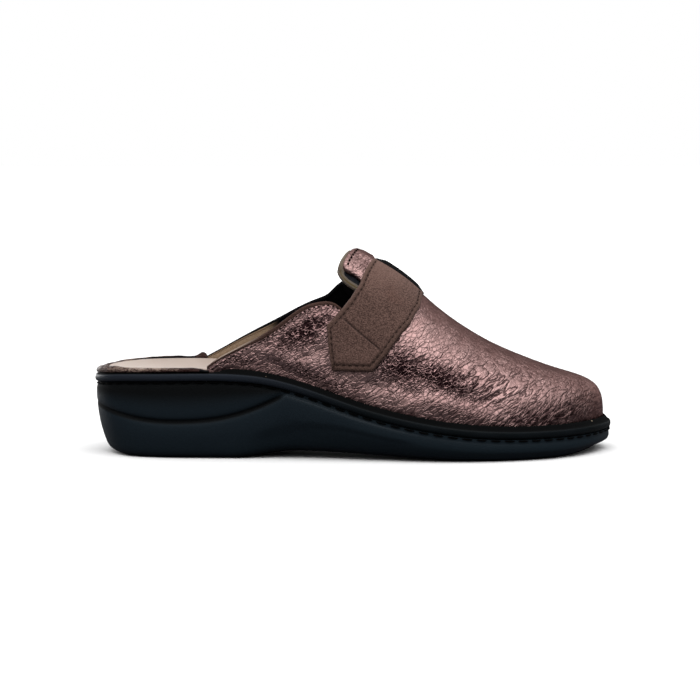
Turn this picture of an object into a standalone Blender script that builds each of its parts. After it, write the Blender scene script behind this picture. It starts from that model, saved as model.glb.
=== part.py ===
"""House slipper for the right foot.

A mule with a black wedge sole, a one-piece leather upper slit on its outer side, and a
suede strap over the instep. Sizes are millimetres and become metres as each mesh is made.
+X runs from heel to toe, +Y to the inner (medial) side of the foot and +Z up. The origin
is on the floor, under the middle of the sole's outline.
"""

import math

import bpy
import numpy as np
from mathutils import Vector
from mathutils.geometry import delaunay_2d_cdt

MM = 0.001


def table(columns, *rows):
    """Read a short table into named columns of numbers."""
    return dict(zip(columns.split(), np.array(rows, dtype=float).T))


# Overall sizes and the clearance between neighbouring pieces
LENGTH = 258.0
WIDTH = 96.0
GAP = 0.3

# Sole edge: insets are measured inward from the welt's outline
WELT_BAND = 3.8
WELT_INNER_INSET = 3.5
FEATHER_INSET = WELT_INNER_INSET + GAP
UPPER_WALL = 2.4
INSOLE_INSET = FEATHER_INSET + UPPER_WALL + GAP
INSOLE_EDGE = 5.3

# Welt shoulder: full height against the upper, low under the heel's bead
SHOULDER_HEIGHT = 2.5
SHOULDER_LOW = 0.3
SHOULDER_RANGE = (-70.0, -59.0)

# Outsole: tread, grooves and moulded side
ARCH_RISE = 3.4
ARCH_RANGE = (-62.0, -28.0, 70.0)
HEEL_BEVEL = (-108.0, 0.8)
TOE_SPRING = (90.0, 3.2)
GROOVE_LIP = 1.4
GROOVE_INSET = 1.8
STITCH_GROOVE = 1.4
TIP_REACH = 24.0

# Heel bead
BEAD_ENDS = {"lateral": -72.4, "medial": -76.0}
BEAD_STATIONS = 30
BEAD_FOOT = 0.65
BEAD_RISE = 1.9
BEAD_KNOB = 1.0
BEAD_KNOB_LENGTH = 7.0

# Upper, tongue and strap
FAN_START = 45.0
FAN_LENGTH = 95.0
SPINE_END = 96.0
SPINE_EASE = 1.5
GIRTH_SCALE = 0.85
BINDING_WIDTH = 1.9
TONGUE_PAD = 2.8
STRAP_THICK = 2.2
STRAP_TAB_STEP = 0.6
ELASTIC_THICK = 1.8

# Mesh fineness
RING_SIDE = 44
CAP_COLUMNS = 4
UPPER_SPACING = 5.5
TRIM_SPACING = 4.5
BINDING_SPACING = 3.5
OUTLINE_SAMPLES = 2400

SOLE_OUTLINE = table(
    "x y",
    (-129.0, 2.0), (-124.5, -13.0), (-114.0, -24.5), (-98.0, -31.0),
    (-75.0, -33.5), (-40.0, -36.0), (0.0, -43.0), (35.0, -48.0),
    (65.0, -46.5), (90.0, -38.5), (110.0, -24.0), (124.0, -4.0),
    (129.0, 13.0), (124.5, 30.0), (110.0, 41.5), (88.0, 47.0),
    (60.0, 48.0), (30.0, 44.5), (0.0, 38.5), (-35.0, 34.5),
    (-75.0, 36.0), (-98.0, 34.5), (-114.0, 28.0), (-124.5, 16.5),
)

WELT_LINE = table(
    "x top",
    (-129.0, 38.6), (-118.0, 40.2), (-99.0, 41.2), (-80.0, 41.6), (-60.0, 41.5),
    (-46.0, 40.3), (-37.0, 38.6), (-21.5, 34.3), (1.5, 26.6), (24.0, 20.8),
    (46.5, 16.9), (69.0, 14.9), (94.0, 14.3), (115.0, 14.3), (129.0, 14.5),
)

# Groove under the heel's crescent pad; it meets the welt's stitch groove at the waist
CRESCENT = table(
    "x height",
    (-129.0, 25.0), (-119.0, 22.2), (-106.5, 19.6), (-92.0, 18.3), (-81.0, 18.4),
    (-67.0, 19.8), (-53.0, 23.3), (-43.0, 27.3), (-32.5, 32.6), (-20.0, 39.5),
)

# Outsole side, from the tread up to the groove's lower lip: share of that height, inset,
# and what the arch and the two ends add to the inset
SOLE_SIDE = table(
    "share inset arch heel toe",
    (0.00, 6.5, 4.5, 7.0, 7.0),
    (0.07, 3.6, 4.0, 5.5, 5.0),
    (0.20, 1.9, 3.0, 4.0, 3.0),
    (0.55, 0.7, 0.3, 2.0, 1.0),
    (0.78, 0.4, 0.1, 1.3, 0.5),
    (1.00, 0.6, 0.0, 0.4, 0.2),
)
SOLE_SIDE_STEP_LIMIT = table("share step", (0.07, 1.2), (0.20, 3.2))

INSOLE_DISH = table(
    "x depth",
    (-123.0, 0.0), (-110.0, 1.6), (-85.0, 2.8), (-50.0, 1.2), (-20.0, 0.3),
    (40.0, 0.8), (90.0, 0.6), (123.0, 0.0),
)

# Top line of the foot form; behind the tongue it only guides the quarters' lean
RIDGE = table(
    "x height side",
    (-80.0, 140.0, 2.0), (-40.0, 123.0, 3.0), (-10.0, 107.0, 4.0), (0.0, 101.0, 4.0),
    (12.0, 94.3, 4.5), (23.0, 87.2, 5.0), (34.0, 77.8, 5.5), (39.7, 72.7, 6.0),
    (56.0, 60.7, 7.0), (67.0, 54.2, 8.0), (78.0, 49.0, 9.0), (89.5, 44.3, 10.0),
    (100.5, 40.4, 11.0), (111.5, 37.4, 12.0), (128.0, 33.2, 13.0),
)

# Roundness of each rib of the foot form: 2 is an ellipse, more is fuller
FULLNESS = table(
    "station lateral medial",
    (-80.0, 2.0, 2.0), (0.0, 2.0, 2.05), (45.0, 2.15, 2.3), (80.0, 2.4, 2.7),
    (110.0, 3.3, 3.5), (140.0, 5.0, 5.0),
)

# Collar edges as seen from each side, then over the instep as girth angles
LATERAL_COLLAR = table(
    "x height",
    (-71.6, 44.8), (-67.0, 47.6), (-60.2, 51.4), (-53.4, 55.0), (-45.7, 59.2),
    (-37.2, 65.3), (-29.0, 71.4), (-23.4, 74.6), (-17.9, 76.1), (-13.4, 76.5),
    (-10.1, 75.8), (-6.8, 73.6), (-4.0, 70.6), (1.0, 66.0), (9.0, 61.0), (18.0, 57.0),
)
SLIT_TONGUE_SIDE = table(
    "x height", (21.0, 59.0), (12.0, 73.0), (2.6, 84.6), (-1.3, 88.0),
)
TONGUE_END = table(
    "x girth",
    (-4.4, -33.2), (-5.2, -31.0), (-4.9, -27.0), (-3.4, -19.5), (-1.4, -10.0), (0.2, 0.0),
    (0.4, 12.0), (-1.0, 24.0), (-3.4, 36.0), (-6.6, 44.5),
)
MEDIAL_COLLAR = table(
    "x height",
    (-9.9, 80.6), (-13.8, 76.8), (-18.5, 74.6), (-26.8, 71.0), (-38.0, 64.9),
    (-49.3, 59.0), (-60.6, 52.8), (-68.0, 48.6), (-75.0, 44.8),
)
BINDING_END = {"lateral": -4.0, "medial": -10.2}

# Padded flap under the leather of the throat
TONGUE_OUTLINE = table(
    "x girth",
    (-0.4, 0.0), (-2.4, -10.0), (-4.9, -21.0), (-6.6, -29.0), (-6.6, -34.0),
    (-4.2, -37.0), (2.3, -38.8), (9.0, -42.5), (17.0, -49.0), (23.0, -46.0),
    (26.0, -25.0), (27.0, 0.0), (26.0, 25.0), (21.0, 46.0), (8.0, 48.0),
    (-4.0, 46.0), (-5.4, 40.0), (-3.6, 28.0), (-1.2, 14.0),
)

STRAP_LEFT = table(
    "x height",
    (2.2, 83.4), (-2.1, 77.2), (-6.4, 72.0), (-10.6, 67.4), (-13.4, 64.9),
)
STRAP_TAB = table(
    "x height",
    (-12.9, 59.4), (-12.3, 53.0), (-10.7, 43.4), (-1.2, 43.2), (8.6, 43.2),
)
STRAP_RIGHT = table(
    "x height", (14.9, 50.5), (20.5, 58.3), (26.3, 64.7), (31.0, 71.9),
)
STRAP_TOP = table(
    "x girth", (32.6, -12.0), (20.5, -11.0), (7.4, -11.0),
)
STRAP_SEAM = table(
    "x height", (-6.5, 67.9), (12.1, 52.6),
)
STRAP_SEAM_RAMP = 1.5

ELASTIC_OUTLINE = table(
    "x girth",
    (7.4, -10.4), (20.5, -10.4), (32.6, -11.4), (34.5, 0.0), (32.5, 22.0),
    (25.0, 46.0), (18.0, 62.0), (5.0, 62.0), (-7.0, 62.0), (-1.0, 46.0),
    (6.0, 22.0), (8.0, 0.0),
)

BLACK_RUBBER = {"name": "black_polyurethane", "color": (0.0085, 0.0105, 0.0135), "rough": 0.45}
BLACK_WELT = {"name": "black_welt", "color": (0.0125, 0.015, 0.018), "rough": 0.5}
BLACK_WEBBING = {"name": "black_elastic", "color": (0.008, 0.008, 0.010), "rough": 0.85}
ROSE_LEATHER = {"name": "rose_brown_leather", "color": (0.200, 0.125, 0.118), "rough": 0.38}
BROWN_LEATHER = {"name": "brown_binding_leather", "color": (0.085, 0.048, 0.038), "rough": 0.55}
BROWN_SUEDE = {"name": "brown_suede", "color": (0.105, 0.058, 0.045), "rough": 0.95}
BEIGE_LEATHER = {"name": "beige_leather", "color": (0.578, 0.473, 0.418), "rough": 0.6}
TAN_LINING = {"name": "tan_lining", "color": (0.300, 0.180, 0.085), "rough": 0.8}


def clear_scene():
    """Remove whatever objects the scene holds."""
    for item in list(bpy.data.objects):
        bpy.data.objects.remove(item, do_unlink=True)


def make_material(finish):
    """Make a plain shaded material of one colour and roughness."""
    material = bpy.data.materials.new(finish["name"])
    material.use_nodes = True
    shader = material.node_tree.nodes["Principled BSDF"]
    shader.inputs["Base Color"].default_value = (*finish["color"], 1.0)
    shader.inputs["Roughness"].default_value = finish["rough"]
    shader.inputs["Metallic"].default_value = 0.0
    material.diffuse_color = (*finish["color"], 1.0)
    return material


def make_object(name, points, faces, finish):
    """Turn millimetre points and faces into a named object."""
    mesh = bpy.data.meshes.new(name)
    mesh.from_pydata((np.asarray(points) * MM).tolist(), [], faces)
    mesh.validate()
    mesh.materials.append(make_material(finish))
    item = bpy.data.objects.new(name, mesh)
    bpy.context.scene.collection.objects.link(item)
    return item


def spline(knots, values, at):
    """Evaluate the natural cubic spline through the given knots."""
    knots = np.asarray(knots, dtype=float)
    values = np.asarray(values, dtype=float)
    at = np.asarray(at, dtype=float)
    count = len(knots)
    step = np.diff(knots)
    slope = np.diff(values) / step
    system = np.eye(count)
    right = np.zeros(count)
    for i in range(1, count - 1):
        system[i, i - 1:i + 2] = (step[i - 1], 2.0 * (step[i - 1] + step[i]), step[i])
        right[i] = 6.0 * (slope[i] - slope[i - 1])
    bend = np.linalg.solve(system, right)
    inside = np.clip(at, knots[0], knots[-1])
    cell = np.clip(np.searchsorted(knots, inside) - 1, 0, count - 2)
    width = step[cell]
    after = (inside - knots[cell]) / width
    before = 1.0 - after
    cubic = (before ** 3 - before) * bend[cell] + (after ** 3 - after) * bend[cell + 1]
    return before * values[cell] + after * values[cell + 1] + cubic * width ** 2 / 6.0


def smooth_step(low, high, at):
    """Ease from 0 at low to 1 at high."""
    share = np.clip((np.asarray(at, dtype=float) - low) / (high - low), 0.0, 1.0)
    return share * share * (3.0 - 2.0 * share)


def curve_through(points, spacing):
    """Sample the open smooth curve through a few points at an even spacing."""
    points = np.asarray(points, dtype=float)
    lengths = np.linalg.norm(np.diff(points, axis=0), axis=1)
    knots = np.concatenate(([0.0], np.cumsum(lengths)))
    count = max(2, int(round(knots[-1] / spacing)) + 1)
    at = np.linspace(0.0, knots[-1], count)
    return np.column_stack([spline(knots, points[:, k], at) for k in range(points.shape[1])])


def sole_outline():
    """Sample the sole's closed outline from the heel tip, with its inward normals."""
    corners = np.column_stack((SOLE_OUTLINE["x"], SOLE_OUTLINE["y"]))
    wrap = 5
    around = np.vstack((corners[-wrap:], corners, corners[:wrap + 1]))
    knots = np.concatenate(([0.0], np.cumsum(np.linalg.norm(np.diff(around, axis=0), axis=1))))
    at = np.linspace(knots[wrap], knots[wrap + len(corners)], OUTLINE_SAMPLES, endpoint=False)
    points = np.column_stack([spline(knots, around[:, k], at) for k in (0, 1)])
    low = points.min(axis=0)
    high = points.max(axis=0)
    points = (points - (low + high) / 2.0) / (high - low) * np.array((LENGTH, WIDTH))
    points = np.roll(points, -int(points[:, 0].argmin()), axis=0)
    along = np.roll(points, -1, axis=0) - np.roll(points, 1, axis=0)
    along /= np.linalg.norm(along, axis=1)[:, None]
    return points, np.column_stack((-along[:, 1], along[:, 0]))


OUTLINE, INWARD = sole_outline()
TOE_INDEX = int(OUTLINE[:, 0].argmax())


def branch(side, inset):
    """Give one side's edge from heel tip to toe tip, moved inward."""
    moved = OUTLINE + INWARD * inset
    if side == "lateral":
        return moved[:TOE_INDEX + 1]
    return np.vstack((moved[TOE_INDEX:], moved[:1]))[::-1]


def arc_lengths(points):
    """Measure the running length along a line of points."""
    return np.concatenate(([0.0], np.cumsum(np.linalg.norm(np.diff(points, axis=0), axis=1))))


def ring_indices():
    """Choose outline samples at even steps, paired from side to side."""
    chosen = []
    for low, high in ((0, TOE_INDEX), (TOE_INDEX, OUTLINE_SAMPLES)):
        loop = np.vstack((OUTLINE, OUTLINE[:1]))[low:high + 1]
        run = arc_lengths(loop)
        at = np.linspace(0.0, run[-1], RING_SIDE, endpoint=False)
        chosen.extend(low + int(np.abs(run - step).argmin()) for step in at)
    return np.array(chosen)


RING = ring_indices()
RING_X = OUTLINE[RING, 0]


def ring_plan(inset):
    """Place one ring of points at an inset from the outline, in plan."""
    inset = np.broadcast_to(np.asarray(inset, dtype=float), RING.shape)
    return OUTLINE[RING] + INWARD[RING] * inset[:, None]


def ring(inset, height):
    """Place a ring at an inset; height is an array or a function of x."""
    plan = ring_plan(inset)
    level = height(plan[:, 0]) if callable(height) else height
    return np.column_stack((plan, level))


def welt_top(x):
    """Height of the band's upper edge."""
    return spline(WELT_LINE["x"], WELT_LINE["top"], x)


def seat_top(x):
    """Height of the outsole's upper face."""
    return welt_top(x) - WELT_BAND - GAP


def layer_floor(x):
    """Height at which the pieces on the outsole begin."""
    return seat_top(x) + GAP


def shoulder(x):
    """Rise of the welt's top from its outer edge to the upper."""
    rise = smooth_step(*SHOULDER_RANGE, x)
    return SHOULDER_LOW + (SHOULDER_HEIGHT - SHOULDER_LOW) * rise


def tread(x):
    """Height of the tread: flat at heel and ball, raised at arch and both tips."""
    x = np.asarray(x, dtype=float)
    back, crown, front = ARCH_RANGE
    arch = ARCH_RISE * smooth_step(back, crown, x) * (1.0 - smooth_step(crown, front, x))
    bevel_from, bevel = HEEL_BEVEL
    heel = bevel * (np.clip(bevel_from - x, 0.0, None) / (bevel_from + LENGTH / 2.0)) ** 2
    spring_from, spring = TOE_SPRING
    toe = spring * (np.clip(x - spring_from, 0.0, None) / (LENGTH / 2.0 - spring_from)) ** 2
    return arch + heel + toe


class Skin:
    """A closed mesh put together from rings and caps."""

    def __init__(self):
        """Start with no points."""
        self.points = []
        self.faces = []

    def add(self, points):
        """Add points and give their numbers."""
        start = len(self.points)
        self.points.extend(np.asarray(points, dtype=float).tolist())
        return list(range(start, len(self.points)))

    def bridge(self, lower, upper, closed=True):
        """Join two rings of equal count with faces looking outward."""
        count = len(lower)
        for i in range(count if closed else count - 1):
            j = (i + 1) % count
            self.faces.append((lower[i], lower[j], upper[j], upper[i]))

    def cap(self, rim, level, up):
        """Close a ring with rows from side to side; level gives height from x, share."""
        half = len(rim) // 2
        rows = [[rim[0]]]
        for i in range(1, half):
            start = np.array(self.points[rim[i]])
            end = np.array(self.points[rim[-i]])
            row = [rim[i]]
            for k in range(1, CAP_COLUMNS):
                share = k / CAP_COLUMNS
                spot = start + (end - start) * share
                spot[2] = level(spot[0], spot[2], 2.0 * share - 1.0)
                row.extend(self.add([spot]))
            rows.append(row + [rim[-i]])
        rows.append([rim[half]])
        for back, front in zip(rows, rows[1:]):
            self.row_faces(back, front, up)

    def row_faces(self, back, front, up):
        """Fill between two rows, either of which may be a single point."""
        fresh = []
        if len(back) == 1:
            fresh = [(back[0], front[k], front[k + 1]) for k in range(len(front) - 1)]
        elif len(front) == 1:
            fresh = [(back[k], front[0], back[k + 1]) for k in range(len(back) - 1)]
        else:
            for k in range(len(back) - 1):
                fresh.append((back[k], front[k], front[k + 1], back[k + 1]))
        self.faces.extend(face if up else face[::-1] for face in fresh)


def outsole():
    """Wedge unit with tread, moulded side, crescent pad and stitch groove."""
    near_heel = np.clip((-RING_X - (LENGTH / 2.0 - TIP_REACH)) / TIP_REACH, 0.0, 1.0) ** 2
    near_toe = np.clip((RING_X - (LENGTH / 2.0 - TIP_REACH)) / TIP_REACH, 0.0, 1.0) ** 2
    back, crown, front = ARCH_RANGE
    arch = smooth_step(back, crown, RING_X) * (1.0 - smooth_step(crown, front, RING_X))
    top = seat_top(RING_X)
    groove = np.minimum(
        spline(CRESCENT["x"], CRESCENT["height"], RING_X), top - STITCH_GROOVE
    )
    lip = groove - GROOVE_LIP
    steps = dict(zip(SOLE_SIDE_STEP_LIMIT["share"], SOLE_SIDE_STEP_LIMIT["step"]))

    skin = Skin()
    rings = []
    floor = None
    for share, inset, at_arch, at_heel, at_toe in zip(*SOLE_SIDE.values()):
        depth = inset + at_arch * arch + at_heel * near_heel + at_toe * near_toe
        if floor is None:
            floor = tread(ring_plan(depth)[:, 0])
        rise = np.minimum(share * 2.0 * (lip - floor), steps[share]) if share in steps else (
            share * (lip - floor)
        )
        rings.append(skin.add(ring(depth, floor + rise)))

    pad = top - groove
    bulge = smooth_step(2.0, 7.0, pad)
    rings.append(skin.add(ring(GROOVE_INSET, groove - 0.3 * GROOVE_LIP)))
    for height, proud in (
        (groove + np.minimum(0.5, 0.25 * pad), 0.0),
        (groove + np.minimum(1.7, 0.40 * pad), 1.2),
        (groove + 0.55 * pad, 1.6),
        (top - np.minimum(1.9, 0.30 * pad), 1.1),
        (top - np.minimum(1.2, 0.15 * pad), 0.0),
        (top, 0.0),
    ):
        rings.append(skin.add(ring(GROOVE_INSET - proud * bulge, height)))
    for low, high in zip(rings, rings[1:]):
        skin.bridge(low, high)
    skin.cap(rings[0], lambda x, z, share: float(tread(x)), up=False)
    skin.cap(rings[-1], lambda x, z, share: float(seat_top(x)), up=True)
    return make_object("outsole", skin.points, skin.faces, BLACK_RUBBER)


def welt():
    """Black band round the edge, its top rising to the upper."""
    skin = Skin()
    section = (
        (1.0, layer_floor),
        (0.0, lambda x: layer_floor(x) + 1.0),
        (0.0, lambda x: welt_top(x) - 0.9),
        (0.45, lambda x: welt_top(x) - 0.1),
        (1.3, lambda x: welt_top(x) + 0.5 * SHOULDER_LOW),
        (2.6, lambda x: welt_top(x) + 0.75 * shoulder(x)),
        (WELT_INNER_INSET, lambda x: welt_top(x) + shoulder(x)),
        (WELT_INNER_INSET, layer_floor),
    )
    rings = [skin.add(ring(inset, height)) for inset, height in section]
    for low, high in zip(rings, rings[1:] + rings[:1]):
        skin.bridge(low, high)
    return make_object("welt", skin.points, skin.faces, BLACK_WELT)


def insole():
    """Footbed lying inside the upper, dished at the heel."""
    skin = Skin()
    edge = 0.8
    section = (
        (INSOLE_INSET + edge, layer_floor),
        (INSOLE_INSET, lambda x: layer_floor(x) + edge),
        (INSOLE_INSET, lambda x: layer_floor(x) + INSOLE_EDGE - edge),
        (INSOLE_INSET + edge, lambda x: layer_floor(x) + INSOLE_EDGE),
    )
    rings = [skin.add(ring(inset, height)) for inset, height in section]
    for low, high in zip(rings, rings[1:]):
        skin.bridge(low, high)

    def dished(x, z, share):
        depth = float(spline(INSOLE_DISH["x"], INSOLE_DISH["depth"], x))
        return float(layer_floor(x)) + INSOLE_EDGE - depth * (1.0 - share * share)

    skin.cap(rings[0], lambda x, z, share: float(layer_floor(x)), up=False)
    skin.cap(rings[-1], dished, up=True)
    return make_object("insole", skin.points, skin.faces, BEIGE_LEATHER)


def heel_bead():
    """Leather bead over the footbed's edge, knotted a little at both ends."""
    heel = np.vstack((branch("medial", 0.0)[::-1], branch("lateral", 0.0)[1:]))
    normal = np.vstack((
        np.vstack((INWARD[TOE_INDEX:], INWARD[:1])), INWARD[1:TOE_INDEX + 1],
    ))
    run = arc_lengths(heel)
    middle = int(heel[:, 0].argmin())
    start = int(np.abs(heel[:middle, 0] - BEAD_ENDS["medial"]).argmin())
    end = middle + int(np.abs(heel[middle:, 0] - BEAD_ENDS["lateral"]).argmin())
    at = np.linspace(run[start], run[end], BEAD_STATIONS)
    plan = np.column_stack([np.interp(at, run, heel[:, k]) for k in (0, 1)])
    inward = np.column_stack([np.interp(at, run, normal[:, k]) for k in (0, 1)])
    inward /= np.linalg.norm(inward, axis=1)[:, None]
    from_end = np.minimum(at - at[0], at[-1] - at)
    swell = 1.0 - smooth_step(2.0, BEAD_KNOB_LENGTH, from_end)
    rise_here = BEAD_RISE * (1.0 + BEAD_KNOB * swell)
    outer_foot = 0.9
    root = GAP - WELT_BAND
    inner_face = INSOLE_INSET - GAP
    section = (
        (outer_foot, BEAD_FOOT, 0.0), (0.5, BEAD_FOOT, 0.3), (0.8, BEAD_FOOT, 0.7),
        (2.2, BEAD_FOOT, 1.0), (4.4, BEAD_FOOT, 1.0), (5.8, BEAD_FOOT, 0.7),
        (inner_face, BEAD_FOOT, 0.2), (inner_face, root, 0.0), (FEATHER_INSET, root, 0.0),
        (FEATHER_INSET, BEAD_FOOT, 0.0),
    )
    skin = Skin()
    loops = []
    for i in range(BEAD_STATIONS):
        spots = []
        for inset, foot, rise in section:
            x, y = plan[i] + inward[i] * inset
            spots.append((x, y, float(welt_top(x)) + foot + rise * rise_here[i]))
        loops.append(skin.add(spots))
    for back, front in zip(loops, loops[1:]):
        skin.bridge(front, back)
    skin.faces.append(tuple(loops[0]))
    skin.faces.append(tuple(loops[-1][::-1]))
    return make_object("heel_binding", skin.points, skin.faces, BROWN_LEATHER)


def feather_lookup(side):
    """Arrays that place a station on one side's feather line."""
    edge = branch(side, FEATHER_INSET)
    run = arc_lengths(edge)
    start = float(np.interp(FAN_START, edge[:, 0], run))
    return edge, run, start


FEATHER = {side: feather_lookup(side) for side in ("lateral", "medial")}
STATION_END = FAN_START + FAN_LENGTH


def feather_point(station, side):
    """Foot of the rib at a station: by x up to the fan, then along the edge."""
    edge, run, start = FEATHER[side]
    share = np.clip((station - FAN_START) / FAN_LENGTH, 0.0, 1.0)
    at = np.where(
        station <= FAN_START,
        np.interp(station, edge[:, 0], run),
        start + (run[-1] - start) * share,
    )
    return np.column_stack([np.interp(at, run, edge[:, k]) for k in (0, 1)])


def ridge_height(x):
    """Height of the foot form's top line."""
    return spline(RIDGE["x"], RIDGE["height"], x)


def foot_form(station, girth):
    """Point on the upper's outer skin.

    Girth is an angle: -90 at the lateral feather line, 0 on the ridge, 90 at the medial
    feather line. Stations past the start of the fan turn round the toe.
    """
    station = np.asarray(station, dtype=float)
    girth = np.asarray(girth, dtype=float)
    share = np.clip((station - FAN_START) / FAN_LENGTH, 0.0, 1.0)
    spine_x = np.where(
        station <= FAN_START,
        station,
        FAN_START + (SPINE_END - FAN_START) * (1.0 - (1.0 - share) ** SPINE_EASE),
    )
    spine = np.column_stack((spine_x, spline(RIDGE["x"], RIDGE["side"], spine_x)))
    medial = girth > 0.0
    foot = np.where(
        medial[:, None], feather_point(station, "medial"), feather_point(station, "lateral")
    )
    full = np.where(
        medial,
        spline(FULLNESS["station"], FULLNESS["medial"], station),
        spline(FULLNESS["station"], FULLNESS["lateral"], station),
    )
    angle = np.radians(90.0 - np.abs(girth))
    cosine = np.clip(np.cos(angle), 0.0, 1.0)
    sine = np.clip(np.sin(angle), 0.0, 1.0)
    reach = (cosine ** full + sine ** full) ** (-1.0 / full)
    plan = spine + (foot - spine) * (reach * cosine)[:, None]
    floor = layer_floor(foot[:, 0])
    height = floor + (ridge_height(plan[:, 0]) - floor) * reach * sine
    return np.column_stack((plan, height))


def foot_normal(station, girth):
    """Outward direction of the upper's skin."""
    station = np.asarray(station, dtype=float)
    girth = np.asarray(girth, dtype=float)
    step = 0.25
    along = foot_form(np.minimum(station + step, STATION_END), girth)
    along = along - foot_form(station - step, girth)
    across = foot_form(station, np.minimum(girth + step, 90.0))
    across = across - foot_form(station, np.maximum(girth - step, -90.0))
    normal = np.cross(along, across)
    on_spine = np.abs(girth) < step
    spine_x = foot_form(station, np.zeros_like(girth))[:, 0]
    slope = (ridge_height(spine_x + step) - ridge_height(spine_x - step)) / (2.0 * step)
    level = np.column_stack((-slope, np.zeros_like(slope), np.ones_like(slope)))
    normal = np.where(on_spine[:, None], level, normal)
    return normal / np.linalg.norm(normal, axis=1)[:, None]


def girth_at(x, height, side):
    """Girth angle at which the skin reaches a height at a cross-section."""
    x = np.asarray(x, dtype=float)
    floor = layer_floor(x)
    rise = np.clip((np.asarray(height) - floor) / (ridge_height(x) - floor), 0.0, 0.999)
    full = spline(FULLNESS["station"], FULLNESS[side], x)
    out = (1.0 - rise ** full) ** (1.0 / full)
    angle = 90.0 - np.degrees(np.arctan2(rise, out))
    return angle if side == "medial" else -angle


def seen_from_side(rows, side):
    """Turn a table of x and height into flat pattern points."""
    return np.column_stack((rows["x"], girth_at(rows["x"], rows["height"], side) * GIRTH_SCALE))


def over_instep(rows):
    """Turn a table of x and girth into flat pattern points."""
    return np.column_stack((rows["x"], rows["girth"] * GIRTH_SCALE))


def beside(line, width):
    """Move a flat pattern line to its left by a width."""
    along = np.gradient(line, axis=0)
    along /= np.linalg.norm(along, axis=1)[:, None]
    return line + np.column_stack((-along[:, 1], along[:, 0])) * width


def straight(start, end, spacing):
    """Points from start up to but not including end."""
    start = np.asarray(start, dtype=float)
    end = np.asarray(end, dtype=float)
    count = max(1, int(round(np.linalg.norm(end - start) / spacing)))
    return start + (end - start) * np.linspace(0.0, 1.0, count, endpoint=False)[:, None]


def inside_of(outline, points):
    """Tell which points lie inside a closed outline."""
    inside = np.zeros(len(points), dtype=bool)
    for start, end in zip(outline, np.roll(outline, -1, axis=0)):
        if start[1] == end[1]:
            continue
        spans = (start[1] > points[:, 1]) != (end[1] > points[:, 1])
        share = (points[:, 1] - start[1]) / (end[1] - start[1])
        inside ^= spans & (points[:, 0] < start[0] + share * (end[0] - start[0]))
    return inside


def fill(outline, spacing):
    """Cover a flat pattern with triangles of about the given size."""
    outline = np.asarray(outline, dtype=float)
    low = outline.min(axis=0)
    high = outline.max(axis=0)
    rows = np.arange(low[1], high[1], spacing * math.sqrt(0.75))
    spots = []
    for number, level in enumerate(rows):
        shift = 0.5 * spacing * (number % 2)
        line = np.arange(low[0] + shift, high[0], spacing)
        spots.append(np.column_stack((line, np.full_like(line, level))))
    spots = np.vstack(spots)
    spots = spots[inside_of(outline, spots)]
    ends = np.roll(outline, -1, axis=0)
    for start, end in zip(outline, ends):
        side = end - start
        share = np.clip(((spots - start) @ side) / (side @ side), 0.0, 1.0)
        away = np.linalg.norm(spots - (start + share[:, None] * side), axis=1)
        spots = spots[away > 0.55 * spacing]
    points = [Vector(p) for p in np.vstack((outline, spots)).tolist()]
    count = len(outline)
    edges = [(i, (i + 1) % count) for i in range(count)]
    flat, _, faces, _, _, _ = delaunay_2d_cdt(points, edges, [], 1, 1e-6)
    return np.array([tuple(p) for p in flat]), [tuple(face) for face in faces]


def join_toe(flat, faces):
    """Close the pattern down the middle of the toe; both sides share that rib."""
    at_toe = np.abs(flat[:, 0] - STATION_END) < 1e-4
    keep = np.arange(len(flat))
    lateral = np.flatnonzero(at_toe & (flat[:, 1] < -1e-4))
    for number in np.flatnonzero(at_toe & (flat[:, 1] > 1e-4)):
        keep[number] = lateral[np.abs(flat[lateral, 1] + flat[number, 1]).argmin()]
    joined = [tuple(int(keep[i]) for i in face) for face in faces]
    corners = [tuple(sorted(face)) for face in joined]
    return [face for face, key in zip(joined, corners) if corners.count(key) == 1]


def shell(name, outline, spacing, under, over, finish, toe=False):
    """Make a curved sheet piece from its flat pattern.

    Under and over are distances from the foot form to the inner and outer faces, as
    numbers or functions of the flat pattern points.
    """
    flat, faces = fill(outline, spacing)
    if toe:
        faces = join_toe(flat, faces)
    used = sorted({i for face in faces for i in face})
    number = {old: new for new, old in enumerate(used)}
    faces = [tuple(number[i] for i in face) for face in faces]
    flat = flat[used]
    girth = np.clip(flat[:, 1] / GIRTH_SCALE, -90.0, 90.0)
    base = foot_form(flat[:, 0], girth)
    normal = foot_normal(flat[:, 0], girth)
    if toe:
        seam = np.abs(flat[:, 0] - STATION_END) < 1e-4
        other = foot_normal(flat[:, 0], -girth)
        normal[seam] += other[seam]
        normal /= np.linalg.norm(normal, axis=1)[:, None]
    low = under(flat) if callable(under) else np.full(len(flat), under)
    high = over(flat) if callable(over) else np.full(len(flat), over)
    outer = base + normal * high[:, None]
    inner = base + normal * low[:, None]
    if toe:
        bottom = np.abs(girth) > 89.99
        inner[bottom, 2] = layer_floor(inner[bottom, 0])
        outer[bottom, 2] = layer_floor(outer[bottom, 0])
    count = len(flat)
    uses = {}
    for face in faces:
        for a, b in zip(face, face[1:] + face[:1]):
            uses[(a, b)] = True
    skin_faces = list(faces)
    skin_faces.extend(tuple(i + count for i in face[::-1]) for face in faces)
    for a, b in uses:
        if (b, a) not in uses:
            skin_faces.append((b, a, a + count, b + count))
    return make_object(name, np.vstack((outer, inner)), skin_faces, finish)


def collar_lines():
    """Flat pattern lines of both collar edges, each running away from the heel."""
    lateral = curve_through(seen_from_side(LATERAL_COLLAR, "lateral"), BINDING_SPACING)
    medial = curve_through(seen_from_side(MEDIAL_COLLAR, "medial"), BINDING_SPACING)[::-1]
    return lateral, medial


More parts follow.
